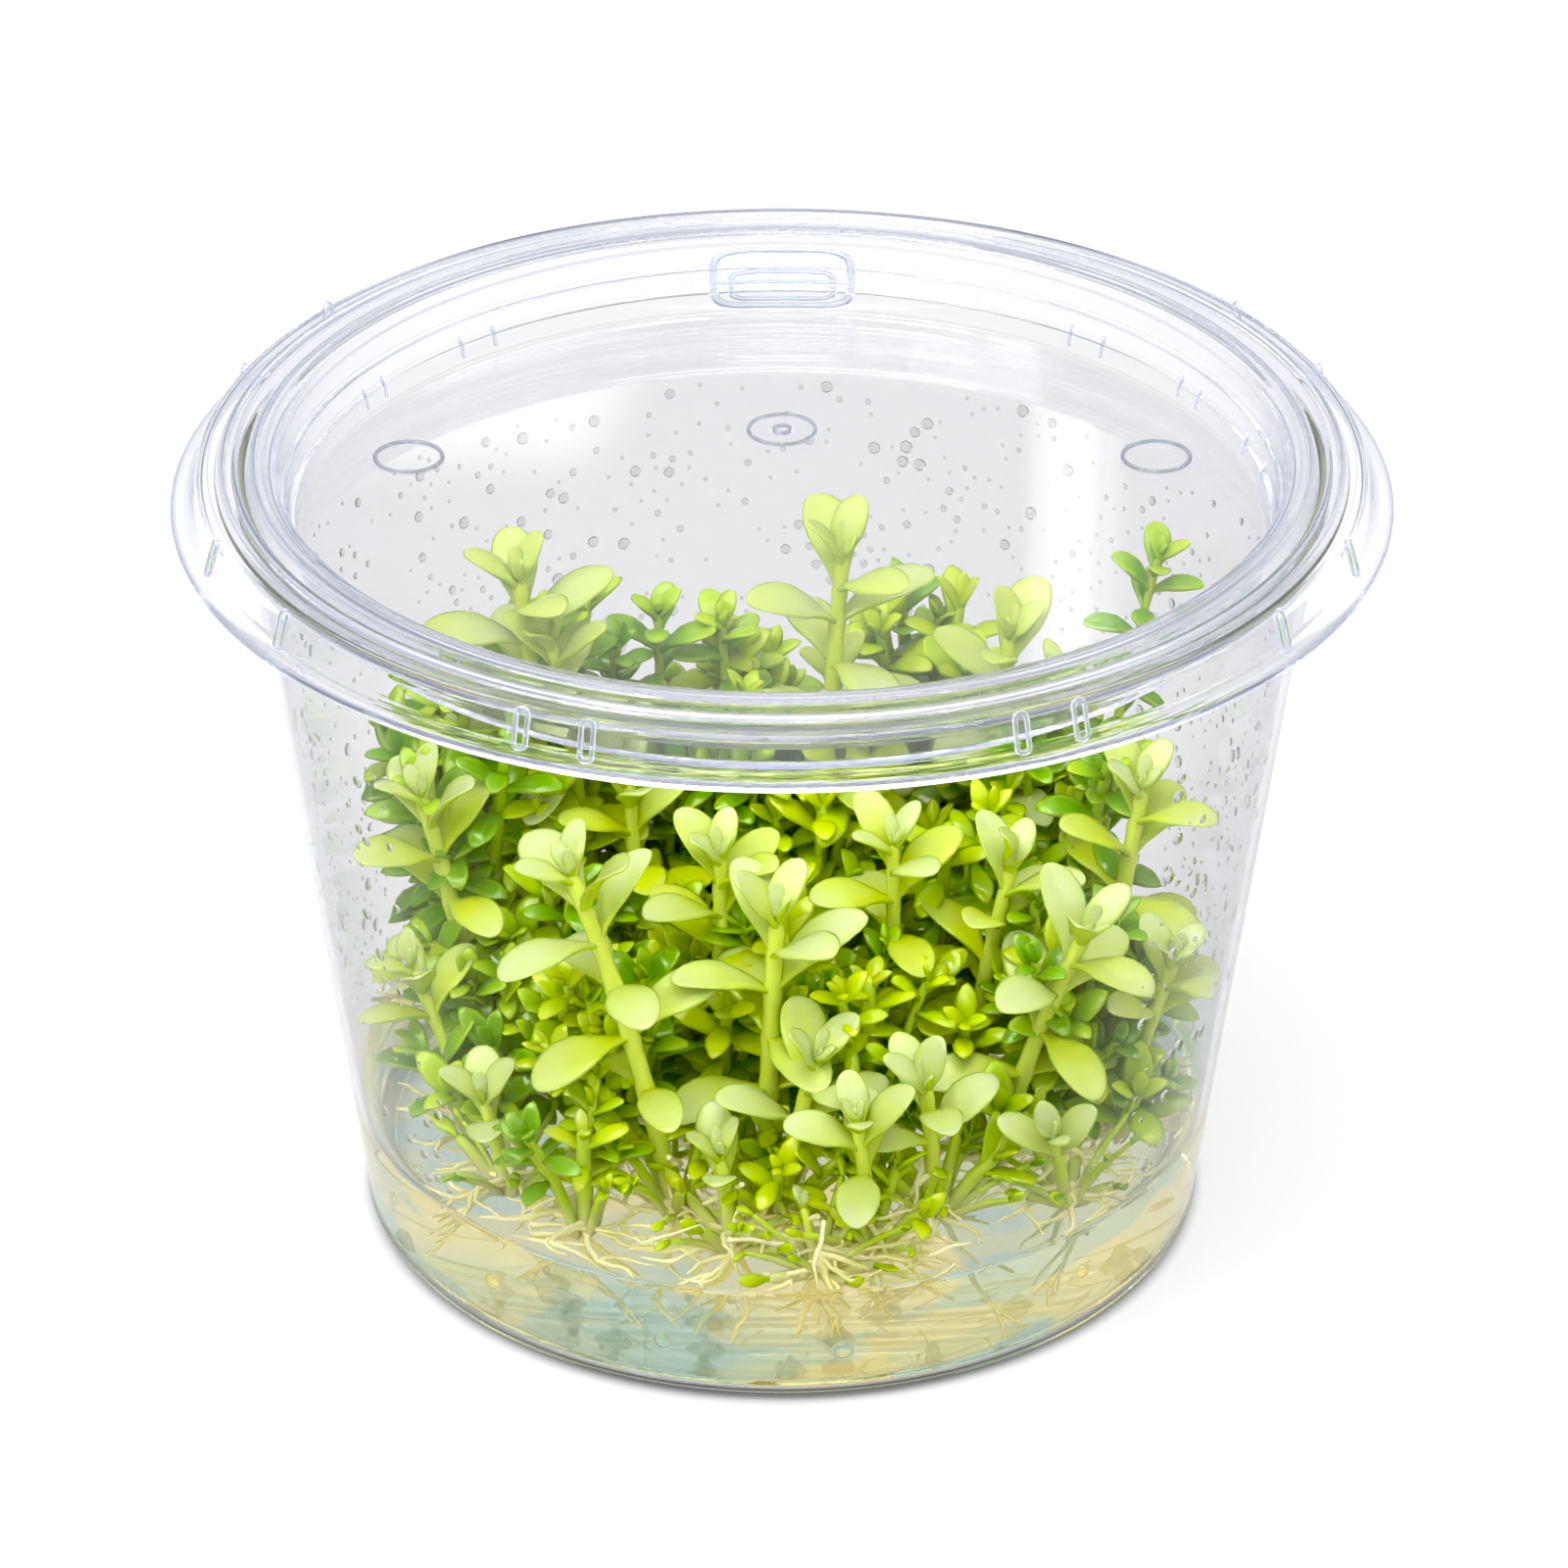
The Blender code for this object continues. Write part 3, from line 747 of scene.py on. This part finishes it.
# Each shoot is one soft stem with pairs of fleshy spoon-shaped leaves, every pair a quarter turn from the
# last. Stem, side sprigs and leaves grew as one, so they are one piece, at the place of its node. A shoot
# has the place of its foot, its tip, the heading of its top pair in degrees and the length of its leaves.
LEAF_THICKNESS = 0.75
LEAF_DROOP = 44.0
BUD_DROOP = 10.0
UNDERSIDE_SHADE = 0.3
WALL_CLEARANCE = 0.4
SPRIG_CLEARANCE = 1.8
PAIR_TILTS = (56.0, 40.0, 26.0, 14.0, 6.0, 0.0)
PAIR_STEPS = (2.3, 3.3, 4.2, 4.6, 5.0)
PAIR_SIZES = (0.68, 0.95, 1.0, 1.0, 0.95, 0.9)
REFERENCE_LEAF = 10.2
NODE_HEIGHT = 1.1
STEM_TO_LEAF = 0.08
FACE_LIGHT = Vector((0.0, -0.55, 0.83))
SHOOTS = {
    "back": (
        ((-21.0, 11.0), (-24.4, 14.0, 55.0), 25.0, 10.3),
        ((-16.5, 8.0), (-21.5, 11.5, 50.0), 70.0, 8.6),
        ((-11.5, 21.5), (-11.7, 24.0, 46.5), 0.0, 6.0),
        ((-4.5, 24.5), (-5.7, 25.0, 45.0), 35.0, 6.0),
        ((3.0, 9.0), (5.6, 14.0, 57.5), 35.0, 10.6),
        ((5.5, 21.5), (5.0, 22.0, 41.0), 5.0, 8.4),
        ((18.5, 12.0), (21.3, 16.0, 48.0), -25.0, 9.8),
        ((27.0, 9.0), (35.0, 14.0, 58.0), 10.0, 5.5),
        ((16.0, 25.0), (17.4, 23.0, 40.5), 60.0, 7.8),
    ),
    "middle": (
        ((-27.5, -3.0), (-33.3, 1.5, 39.5), 40.0, 10.3),
        ((-28.5, -12.0), (-34.0, -8.0, 27.0), 30.0, 7.7),
        ((-13.0, 3.0), (-14.3, 6.0, 39.0), 30.0, 9.0),
        ((-5.5, -9.5), (-5.7, -7.0, 38.0), 55.0, 9.6),
        ((10.5, -7.5), (10.2, -5.5, 38.5), 35.0, 9.1),
        ((16.5, -9.5), (21.1, -5.0, 36.0), 65.0, 9.6),
        ((29.5, -2.5), (33.4, 2.0, 40.0), 50.0, 10.6),
        ((31.0, -11.5), (36.0, -9.5, 28.5), 55.0, 8.9),
    ),
    "front": (
        ((-9.5, -25.0), (-18.8, -18.0, 42.5), 40.0, 10.8),
        ((-1.5, -19.5), (-0.5, -16.0, 36.5), 35.0, 11.3),
        ((-0.5, -26.5), (3.0, -24.0, 26.5), 30.0, 9.8),
        ((8.0, -31.0), (6.8, -31.0, 24.5), 90.0, 8.6),
        ((14.0, -25.5), (13.0, -26.0, 25.0), 25.0, 9.4),
        ((19.5, -16.5), (27.3, -16.0, 35.0), 45.0, 10.3),
        ((26.0, -23.0), (24.5, -25.5, 19.5), 100.0, 7.9),
        ((-4.5, -30.5), (-5.5, -29.5, 20.0), 10.0, 8.4),
        ((3.2, -34.3), (2.0, -32.5, 16.5), 40.0, 6.7),
        ((-25.0, -21.0), (-27.0, -20.5, 20.5), 0.0, 8.4),
    ),
}
LEAF_COLOURS = (
    (0.0, "6CA404"),
    (0.2, "ACCE06"),
    (0.4, "C2D808"),
    (0.56, "C4D41C"),
    (0.77, "C5D390"),
    (0.9, "C6D66C"),
)

# A leaf is smooth and waxy, green by its tone, with pale veins. It is deeper at its foot and greener at its
# rim, partly its own colour and partly painted shade that rounds it.
leaf_skin, graph, shader = new_material(
    "leaf",
    Specular_IOR_Level=0.6,
    Specular_Tint=(0.95, 1.0, 0.7, 1.0),
    Subsurface_Weight=0.2,
    Subsurface_Radius=(1.0, 1.0, 0.3),
    Subsurface_Scale=MM,
    IOR=1.46,
)
tone = graph.out(graph.add("ShaderNodeAttribute", {"attribute_name": "tone"}), "Fac")
across, along, _ = graph.split(graph.out(graph.add("ShaderNodeUVMap", {"uv_map": "leaf"})))
mottle = graph.noise(260.0, 3.0, object_place(graph))
# Partly painted shade: the tone darkens towards the leaf's foot, and further down the ramp the rim is mixed
# greener.
shade = (tone + (mottle - 0.5) * 0.2 - (1.0 - along) * 0.22) * 0.82
ramp = graph.add("ShaderNodeValToRGB", {}, {"Fac": shade})
stops = ramp.color_ramp.elements
while len(stops) < len(LEAF_COLOURS):
    stops.new(0.5)
for stop, (position, code) in zip(stops, LEAF_COLOURS):
    stop.position = position
    stop.color = paint(code)
rim = graph.spread(graph.maths("ABSOLUTE", across), 0.45, 1.0)
veins = graph.maths("ABSOLUTE", graph.maths("SINE", across * (6.0 - 2.0 * along)))
vein_lines = graph.spread(1.0 - veins, 0.82, 1.0)
colour = graph.mix_colours(rim * 0.4, graph.out(ramp, "Color"), paint("AECC28"))
colour = graph.mix_colours(vein_lines * 0.24, colour, paint("D4E438"))
graph.feed(shader, "Base Color", colour)
graph.feed(shader, "Roughness", 0.12 + 0.12 * tone)
height = graph.noise(900.0, 2.0, object_place(graph)) * 0.3 - vein_lines * 0.5
bump = graph.add("ShaderNodeBump", {}, {"Strength": 0.25, "Distance": 0.05 * MM, "Height": height})
graph.feed(shader, "Normal", graph.out(bump))

# A stem is smooth and juicy, yellow-green and a little glassy, and cream where it stands in the gel.
stem_skin, graph, shader = new_material(
    "stem",
    Roughness=0.26,
    Specular_IOR_Level=0.4,
    Specular_Tint=(0.85, 1.0, 0.45, 1.0),
    Subsurface_Weight=0.2,
    Subsurface_Radius=(1.0, 1.0, 0.2),
    Subsurface_Scale=MM,
    IOR=1.46,
)
tone = graph.out(graph.add("ShaderNodeAttribute", {"attribute_name": "tone"}), "Fac")
streaks = graph.noise(420.0, 2.0, object_place(graph))
share = graph.spread(tone + (streaks - 0.5) * 0.4, 0.0, 1.0)
colour = graph.mix_colours(share, paint("A6CC10"), paint("D6E65A"))
_, height = reach_and_height(graph)
buried = 1.0 - graph.spread(height, (GEL_TOP_Z - 1.0) * MM, (GEL_TOP_Z + 5.0) * MM)
graph.feed(shader, "Base Color", graph.mix_colours(buried, colour, paint("E6E2B0")))


class Growth:
    """Gathers the points, faces, leaf coordinates and tones of one plant."""

    def __init__(self):
        self.vertices = []
        self.faces = []
        self.coordinates = []
        self.tones = []
        self.skins = []

    def add(self, vertices, faces, coordinates, tones, skin):
        start = len(self.vertices)
        self.vertices.extend(vertices)
        self.faces.extend(tuple(start + corner for corner in face) for face in faces)
        self.coordinates.extend(coordinates)
        self.tones.extend(tones)
        self.skins.extend([skin] * len(faces))

    def piece(self, name, slot):
        """The plant as a piece; what would pass through the cup is pressed flat on its wall."""
        places = np.array([tuple(vertex) for vertex in self.vertices])
        reach = np.hypot(places[:, 0], places[:, 1])
        room = cup_inner_radius(places[:, 2]) - WALL_CLEARANCE
        places[:, :2] *= np.minimum(1.0, room / np.maximum(reach, 0.001))[:, None]
        piece = add_piece(name, places, self.faces, slot, leaf_skin, stem_skin)
        mesh = piece.data
        mesh.polygons.foreach_set("material_index", self.skins)
        layer = mesh.uv_layers.new(name="leaf")
        corners = np.empty(len(mesh.loops), dtype=np.int32)
        mesh.loops.foreach_get("vertex_index", corners)
        layer.data.foreach_set("uv", np.asarray(self.coordinates, float)[corners].ravel())
        mesh.attributes.new("tone", "FLOAT", "POINT").data.foreach_set("value", self.tones)
        return piece


# A leaf's grid has its stations from foot to tip, the places round it, its width and how blunt it is.
FINE_STATIONS = (0.0, 0.09, 0.2, 0.33, 0.47, 0.61, 0.74, 0.85, 0.93, 0.98)
FINE_RING = (-1.0, -0.86, -0.35, 0.35, 0.86, 1.0, 0.86, 0.35, -0.35, -0.86)
FINE_LEAF = (FINE_STATIONS, FINE_RING, 0.46, 0.56)
PLAIN_LEAF = ((0.0, 0.18, 0.4, 0.62, 0.8, 0.93), (-1.0, -0.7, 0.7, 1.0, 0.7, -0.7), 0.41, 0.85)


def tube_faces(rings, count, outward=True, tip=True):
    """The faces between rings of points that follow each other, and those round the tip after them."""
    faces = []
    for base in range(0, rings * count, count):
        for corner in range(count):
            first, second = base + corner, base + (corner + 1) % count
            if not outward:
                first, second = second, first
            if base < (rings - 1) * count:
                faces.append((first, second, second + count, first + count))
            elif tip:
                faces.append((first, second, rings * count))
    return faces


def spoon_width(share, point):
    """Half width of a spoon-shaped leaf: a narrow clasping foot, widest past the middle, and its tip."""
    widest = 0.58
    if share < widest:
        ease = share / widest
        return 0.26 + 0.74 * ease * ease * (3.0 - 2.0 * ease)
    return max(0.0, 1.0 - ((share - widest) / (1.0 - widest)) ** 2.4) ** point


def grow_leaf(growth, root, outward, upward, length, tilt, tone, draw, grid, droop=LEAF_DROOP):
    """One leaf: an arched midline, its face rolled towards the light, cupped and thinned to the rim."""
    stations, ring, ratio, point = grid
    count = len(ring)
    half = count // 2
    sideways = upward.cross(outward).normalized()
    half_width = 0.5 * ratio * length * draw.uniform(0.92, 1.1)
    cupping = draw.uniform(0.05, 0.25) * half_width
    lean = draw.uniform(-0.12, 0.12)
    facing = draw.uniform(0.35, 0.7)
    tilt = tilt + 20.0 * max(-0.8, min(0.6, outward.y))
    vertices = []
    coordinates = []
    tones = []
    place = root.copy()
    reached = 0.0
    for share in stations + (1.0,):
        slope = radians(tilt + 0.5 * droop - droop * 0.5 * (share + reached))
        way = cos(slope) * outward + sin(slope) * upward + lean * share * sideways
        along = way.normalized()
        place = place + (share - reached) * length * along
        reached = share
        if share == 1.0:
            vertices.append(place)
            coordinates.append((0.0, 1.0))
            tones.append(tone)
            continue
        normal = along.cross(sideways)
        if normal.dot(upward) < 0.0:
            normal = -normal
        towards_light = (FACE_LIGHT - FACE_LIGHT.dot(along) * along).normalized()
        normal = normal.lerp(towards_light, facing * min(1.0, 2.0 * share)).normalized()
        spread = normal.cross(along).normalized()
        width = half_width * spoon_width(share, point)
        thick = 0.5 * LEAF_THICKNESS * (0.45 + 0.55 * sin(pi * min(1.0, share + 0.15)))
        for corner, across in enumerate(ring):
            layer = 0.0 if abs(across) == 1.0 else 1.0 if corner < half else -1.0
            cupped = cupping * across * across * width / half_width
            rise = cupped + layer * thick * (1.0 - 0.45 * across * across)
            vertices.append(place + width * across * spread + rise * normal)
            coordinates.append((across, share))
            tones.append(tone - UNDERSIDE_SHADE * (layer < 0.0))
    faces = [*tube_faces(len(stations), count, outward=False), tuple(range(count))]
    growth.add(vertices, faces, coordinates, tones, 0)


class Stem:
    """The curved middle line of a shoot, from the gel to its tip."""

    def __init__(self, start, tip, radius):
        self.radius = radius
        self.start = Vector(start)
        self.tip = Vector(tip)
        lean = self.tip - self.start
        self.bend = self.start + Vector((0.3 * lean.x, 0.3 * lean.y, 0.55 * lean.z))
        points = [self.point(step / 24) for step in range(25)]
        self.length = sum((b - a).length for a, b in zip(points, points[1:]))

    def point(self, share):
        rest = 1.0 - share
        return rest * rest * self.start + 2.0 * rest * share * self.bend + share * share * self.tip

    def direction(self, share):
        rest = 1.0 - share
        return (rest * (self.bend - self.start) + share * (self.tip - self.bend)).normalized()


def square_to(direction, heading):
    """The unit vector square to a stem that points along a compass heading."""
    flat = Vector((cos(heading), sin(heading), 0.0))
    return (flat - flat.dot(direction) * direction).normalized()


def grow_stem(growth, stem, node_shares, tone, sides, spacing, foot_share):
    """A tube along the stem's line, swollen where the leaves sit, tapered to the bud and to its foot."""
    steps = max(6, round(stem.length / spacing))
    stations = []
    for step in range(steps + 1):
        share = step / steps
        swell = sum(exp(-(((share - node) * stem.length / 0.75) ** 2)) for node in node_shares)
        radius = stem.radius * (1.0 - 0.25 * share ** 3) * (1.0 + 0.18 * min(1.0, swell))
        if share < foot_share:
            radius *= 0.3 + 0.7 * sin(0.5 * pi * share / foot_share)
        stations.append((stem.point(share), stem.direction(share), radius))
    vertices = []
    for centre, direction, radius in stations:
        first = square_to(direction, 0.0)
        second = direction.cross(first)
        for side in range(sides):
            angle = tau * side / sides
            vertices.append(centre + radius * (cos(angle) * first + sin(angle) * second))
    vertices.append(stem.tip + stem.radius * stem.direction(1.0))
    faces = [tuple(reversed(range(sides))), *tube_faces(len(stations), sides)]
    growth.add(vertices, faces, [(0.0, 0.5)] * len(vertices), [tone] * len(vertices), 1)


def pair_shares(stem, leaf_length, lowest):
    """Shares of the stem at which leaf pairs sit, from the tip down to the lowest height."""
    scale = leaf_length / REFERENCE_LEAF
    reach = 0.9 * NODE_HEIGHT
    shares = []
    while reach < stem.length and stem.point(1.0 - reach / stem.length).z > lowest:
        shares.append(1.0 - reach / stem.length)
        reach += scale * PAIR_STEPS[min(len(shares) - 1, len(PAIR_STEPS) - 1)]
    return shares


PAIR_TURN = radians(86.0)
SHOOT_BUD = ((90.0, 0.36, 68.0), (270.0, 0.32, 74.0), (0.0, 0.2, 80.0), (180.0, 0.16, 80.0))
SPRIG_BUD = ((90.0, 0.5, 66.0),)


def grow_pairs(growth, stem, shares, heading, leaf_length, top_tone, fade, draw, grid=FINE_LEAF):
    for number, share in enumerate(shares):
        middle, direction = stem.point(share), stem.direction(share)
        for way in (0.0, pi):
            turn = radians(heading) + number * PAIR_TURN + way + draw.uniform(-0.2, 0.2)
            size = leaf_length * draw.uniform(0.88, 1.06) * PAIR_SIZES[min(number, len(PAIR_SIZES) - 1)]
            tilt = PAIR_TILTS[min(number, len(PAIR_TILTS) - 1)] + draw.uniform(-10.0, 10.0)
            tone = max(0.05, top_tone - fade * number + draw.uniform(-0.07, 0.07))
            grow_leaf(growth, middle, square_to(direction, turn), direction, size, tilt, tone, draw, grid)


def grow_bud(growth, stem, heading, leaf_length, leaves, tone, draw, grid):
    """The small leaves round a tip, each with its turn, its size and its tilt."""
    upward = stem.direction(1.0)
    for turn, size, tilt in leaves:
        outward = square_to(upward, radians(heading + turn))
        grow_leaf(growth, stem.tip, outward, upward, size * leaf_length, tilt, tone, draw, grid, BUD_DROOP)


def grow_sprig(growth, start, tip, leaf_length, top_tone, draw, lowest):
    """A small side shoot with plain leaves and no more than its own few pairs."""
    stem = Stem(start, tip, 0.1 * leaf_length)
    shares = pair_shares(stem, leaf_length, lowest)
    grow_stem(growth, stem, shares, 0.3 + 0.4 * top_tone, 6, 1.6, 0.1)
    heading = draw.uniform(0.0, 180.0)
    grow_pairs(growth, stem, shares, heading, leaf_length, top_tone, 0.07, draw, PLAIN_LEAF)
    grow_bud(growth, stem, heading, leaf_length, SPRIG_BUD, top_tone, draw, PLAIN_LEAF)


GOLDEN_ANGLE = pi * (3.0 - sqrt(5.0))
FRONT_Y = -12.0
SIDE_X = 20.0


def keep_inside(place, clearance):
    """Draws a point in from the cup's wall to a clearance, when it lies nearer or past it."""
    reach = hypot(place.x, place.y)
    room = cup_inner_radius(place.z) - clearance
    if reach > room:
        place.x *= room / reach
        place.y *= room / reach


def grow_side_sprigs(growth, stem, count, spread, top, leaf_length, tones, draw):
    """Side shoots that leave the foot of a stem all round and reach up between their neighbours."""
    phase = draw.uniform(0.0, tau)
    for number in range(count):
        angle = phase + number * GOLDEN_ANGLE
        foot = stem.start.copy()
        foot.z = GEL_TOP_Z - 0.8
        away = Vector((cos(angle), sin(angle), 0.0))
        start = foot + draw.uniform(0.2, 0.9) * away
        tip = foot + spread * draw.uniform(0.55, 1.0) * away
        tip.z = GEL_TOP_Z + (top - GEL_TOP_Z) * draw.uniform(0.5, 1.0)
        keep_inside(tip, SPRIG_CLEARANCE)
        tone = draw.uniform(*tones) - (0.25 if abs(foot.x) > SIDE_X else 0.0)
        lowest = GEL_TOP_Z + (draw.uniform(3.5, 8.5) if foot.y < FRONT_Y else draw.uniform(1.5, 4.0))
        grow_sprig(growth, start, tip, leaf_length * draw.uniform(0.75, 1.15), tone, draw, lowest)


# A shoot's tone falls by its fade from pair to pair down the stem, partly the deeper green of lower leaves
# and partly painted shade; the back tops take a deeper lime past the palest tone, painted shade on them.
TOP_TONES = {"back": 1.3, "middle": 0.96, "front": 1.0}
DARK_SHOOTS = {"shoot_back_3": 0.35, "shoot_back_4": 0.4, "shoot_back_8": 0.3, "shoot_back_9": 0.5}
TONE_FADES = {"back": 0.1, "middle": 0.06, "front": 0.035}
SLOTS = {"back": "leaf_lime", "middle": "leaf_lime", "front": "leaf_pale"}
LOWEST_LEAVES = {"back": 24.0, "middle": 20.0, "front": 17.0}
SIDE_TOPS = {"back": 43.0, "middle": 31.0, "front": 20.0}
for row, shoots in SHOOTS.items():
    for number, (root, tip, heading, leaf_length) in enumerate(shoots, 1):
        node = f"shoot_{row}_{number}"
        draw = random.Random(node)
        growth = Growth()
        stem = Stem((*root, GEL_TOP_Z - 2.2), tip, STEM_TO_LEAF * leaf_length)
        shares = pair_shares(stem, leaf_length, LOWEST_LEAVES[row])
        top_tone = DARK_SHOOTS.get(node, TOP_TONES[row])
        grow_stem(growth, stem, shares, 0.3 + 0.6 * min(1.0, top_tone), 10, 0.9, 3.0 / stem.length)
        grow_pairs(growth, stem, shares, heading, leaf_length, top_tone, TONE_FADES[row], draw)
        grow_bud(growth, stem, heading, leaf_length, SHOOT_BUD, top_tone, draw, FINE_LEAF)
        top = min(SIDE_TOPS[row], 0.75 * tip[2])
        grow_side_sprigs(growth, stem, 5, 6.0, top, 6.6, (0.35, 0.78), draw)
        if row == "front":
            grow_side_sprigs(growth, stem, 7, 8.5, GEL_TOP_Z + 6.5, 4.0, (0.15, 0.7), draw)
        plant = growth.piece(f"leafy_{node}", SLOTS[row])
        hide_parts(node)
        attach(plant, "root")

# Short bushy shoots fill the space between the tall ones, shaded and deeper green, and taller towards the
# back. The frame has a plain solid for each, so every one stands where its solid stands.
low_nodes = sorted(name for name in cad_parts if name.startswith("shoot_low_"))
for node in low_nodes:
    low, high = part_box(node)
    draw = random.Random(node)
    growth = Growth()
    middle = (low + high) / 2 / MM
    top = high.z / MM
    stem = Stem((middle.x, middle.y, GEL_TOP_Z - 1.5), (middle.x, middle.y, top - 3.0), 0.75)
    in_front = middle.y < FRONT_Y
    leaf_length = 5.2 if in_front else 7.0
    sprigs = 5 if in_front else 8
    sprig_top = top + (14.0 if middle.y > 5.0 else 0.0)
    shares = pair_shares(stem, leaf_length, GEL_TOP_Z + (5.0 if in_front else 2.5))
    tone = draw.uniform(0.45, 0.8)
    grow_stem(growth, stem, shares, 0.6, 8, 1.2, 0.2)
    grow_pairs(growth, stem, shares, draw.uniform(0.0, 180.0), leaf_length, tone, 0.05, draw, PLAIN_LEAF)
    grow_side_sprigs(growth, stem, sprigs, 6.5, sprig_top, 0.9 * leaf_length, (0.0, 0.72), draw)
    plant = growth.piece(f"leafy_{node}", "leaf_deep")
    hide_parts(node)
    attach(plant, "root")

# The shoots stand on a mat of thin cream roots that wander over the gel, hang from the lowest joints and
# branch down into the gel. They grew with the shoots, but their many threads are one piece for the mat.
ROOT_RADIUS = 0.34
ROOT_STEP = 0.8
ROOT_CLEARANCE = 0.8
ROOT_FLOOR = 2.4
# The roots carry a faint painted glow that lightens them.
root_skin, graph, shader = new_material(
    "root",
    Roughness=0.32,
    IOR=1.4,
    Emission_Color=paint("F4ECB0"),
    Emission_Strength=0.14,
)
root_tint = graph.spread(graph.noise(150.0, 2.0, object_place(graph)), 0.35, 0.7)
graph.feed(shader, "Base Color", graph.mix_colours(root_tint, paint("F6F0BC"), paint("DEDA84")))


def wander(start, heading, sink, steps, radius, draw, threads, forks=1, floor=ROOT_FLOOR):
    """Adds one root thread and its forks: a walk that turns and sinks at each step, down to its floor."""
    place = Vector(start)
    points = [tuple(place)]
    for step in range(steps):
        heading += draw.gauss(0.0, 0.28)
        sink += draw.gauss(0.0, 0.08)
        place = place + ROOT_STEP * Vector((cos(heading), sin(heading), -sin(sink)))
        keep_inside(place, ROOT_CLEARANCE)
        place.z = max(floor, place.z)
        points.append(tuple(place))
        if forks and step > 2 and draw.random() < 0.16:
            fork_heading = heading + draw.choice((-1, 1)) * draw.uniform(0.5, 1.1)
            wander(place, fork_heading, sink, steps // 2, 0.7 * radius, draw, threads, forks - 1, floor)
    count = len(points)
    threads.append((points, [radius * (1.0 - 0.75 * (step / count) ** 1.5) for step in range(count)]))


threads = []
draw = random.Random("roots")
feet = [root for shoots in SHOOTS.values() for root, *rest in shoots]
for node in low_nodes:
    low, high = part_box(node)
    feet.append((0.5 / MM * (low.x + high.x), 0.5 / MM * (low.y + high.y)))
for foot in feet:
    outward = atan2(foot[1], foot[0])
    for number in range(9 if foot[1] < FRONT_Y else 5):
        heading = outward + draw.uniform(-2.2, 2.2)
        start = (*foot, GEL_TOP_Z + draw.uniform(0.3, 1.8))
        sink = draw.uniform(-0.04, 0.05)
        steps = draw.randrange(8, 16)
        radius = ROOT_RADIUS * draw.uniform(0.7, 1.2)
        wander(start, heading, sink, steps, radius, draw, threads, 1, GEL_TOP_Z + draw.uniform(-0.1, 0.4))
    for number in range(3 if foot[1] < -20.0 else 0):
        heading = outward + draw.uniform(-1.5, 1.5)
        sink = draw.uniform(0.4, 1.3)
        steps = draw.randrange(6, 11)
        radius = ROOT_RADIUS * draw.uniform(0.7, 1.2)
        wander((*foot, GEL_TOP_Z), heading, sink, steps, radius, draw, threads)
    for number in range(3):
        heading = draw.uniform(0.0, tau)
        beside = (foot[0] + draw.uniform(-1, 1), foot[1] + draw.uniform(-1, 1))
        start = (*beside, GEL_TOP_Z + draw.uniform(2.5, 7.0))
        sink = draw.uniform(0.7, 1.2)
        wander(start, heading, sink, draw.randrange(6, 9), 0.8 * ROOT_RADIUS, draw, threads, 0)
swept_piece("root_mat", threads, 5, "root", root_skin)

# Water has condensed on the inside of the cup's wall, most at the sides and the back, in drops from pin
# heads to small lenses. They cling to the plastic beside and above the leaves.
water, *_ = new_material("water", Transmission_Weight=1.0, IOR=1.24, Roughness=0.0)
WALL_SIDES = 72
WALL_LEVELS = 24
LOWEST_DROP_Z = 14.0
HIGHEST_DROP_Z = 60.0
DRY_FRONT = 0.84
WET_FROM_Z = 34.0
DROP_FLATNESS = 0.42
DROPS = {"Spacing": 1.2 * MM, "Density": 650000.0, "Smallest": 0.2 * MM, "Largest": 0.7 * MM, "Seed": 7}
draw = random.Random("drops")
wall_points = []
wall_wetness = []
for level in range(WALL_LEVELS + 1):
    height = LOWEST_DROP_Z + (HIGHEST_DROP_Z - LOWEST_DROP_Z) * level / WALL_LEVELS
    radius = cup_inner_radius(height)
    wettest = 1.0 if height > WET_FROM_Z else 0.7
    for side in range(WALL_SIDES):
        angle = tau * side / WALL_SIDES
        wall_points.append(on_circle(radius, angle, height))
        to_front = 0.5 - 0.5 * sin(angle)
        wall_wetness.append(draw.random() * (0.0 if to_front > DRY_FRONT else wettest))
wall_faces = tube_faces(WALL_LEVELS + 1, WALL_SIDES, outward=False, tip=False)
wall_guide = new_mesh("wall_guide", wall_points, [], wall_faces)
wall_guide.attributes.new("wetness", "FLOAT", "POINT").data.foreach_set("value", wall_wetness)
graph, source = geometry_graph("condensation", **DROPS)
seed = graph.out(source, "Seed")
scatter = graph.add("GeometryNodeDistributePointsOnFaces", {"distribute_method": "POISSON"}, {
    "Mesh": graph.out(source, "Geometry"),
    "Distance Min": graph.out(source, "Spacing"),
    "Density Max": graph.out(source, "Density"),
    "Density Factor": graph.attribute("wetness"),
    "Seed": seed,
})
chance = graph.out(graph.add("FunctionNodeRandomValue", {"data_type": "FLOAT"}, {"Seed": seed}), "Value")
smallest, largest = graph.out(source, "Smallest"), graph.out(source, "Largest")
size = smallest + (largest - smallest) * chance ** 4.0
drop = graph.out(graph.add("GeometryNodeMeshUVSphere", {}, {"Segments": 8, "Rings": 6, "Radius": 1.0}))
flat = (1.0, 1.0, DROP_FLATNESS)
drop = graph.out(graph.add("GeometryNodeTransform", {}, {"Geometry": drop, "Scale": flat}))
drops = graph.add("GeometryNodeInstanceOnPoints", {}, {
    "Points": graph.out(scatter, "Points"),
    "Instance": drop,
    "Rotation": graph.out(scatter, "Rotation"),
    "Scale": size,
})
finish_tree(graph, graph.out(drops), water)
grown_piece("condensation", wall_guide, graph, "water", **DROPS)
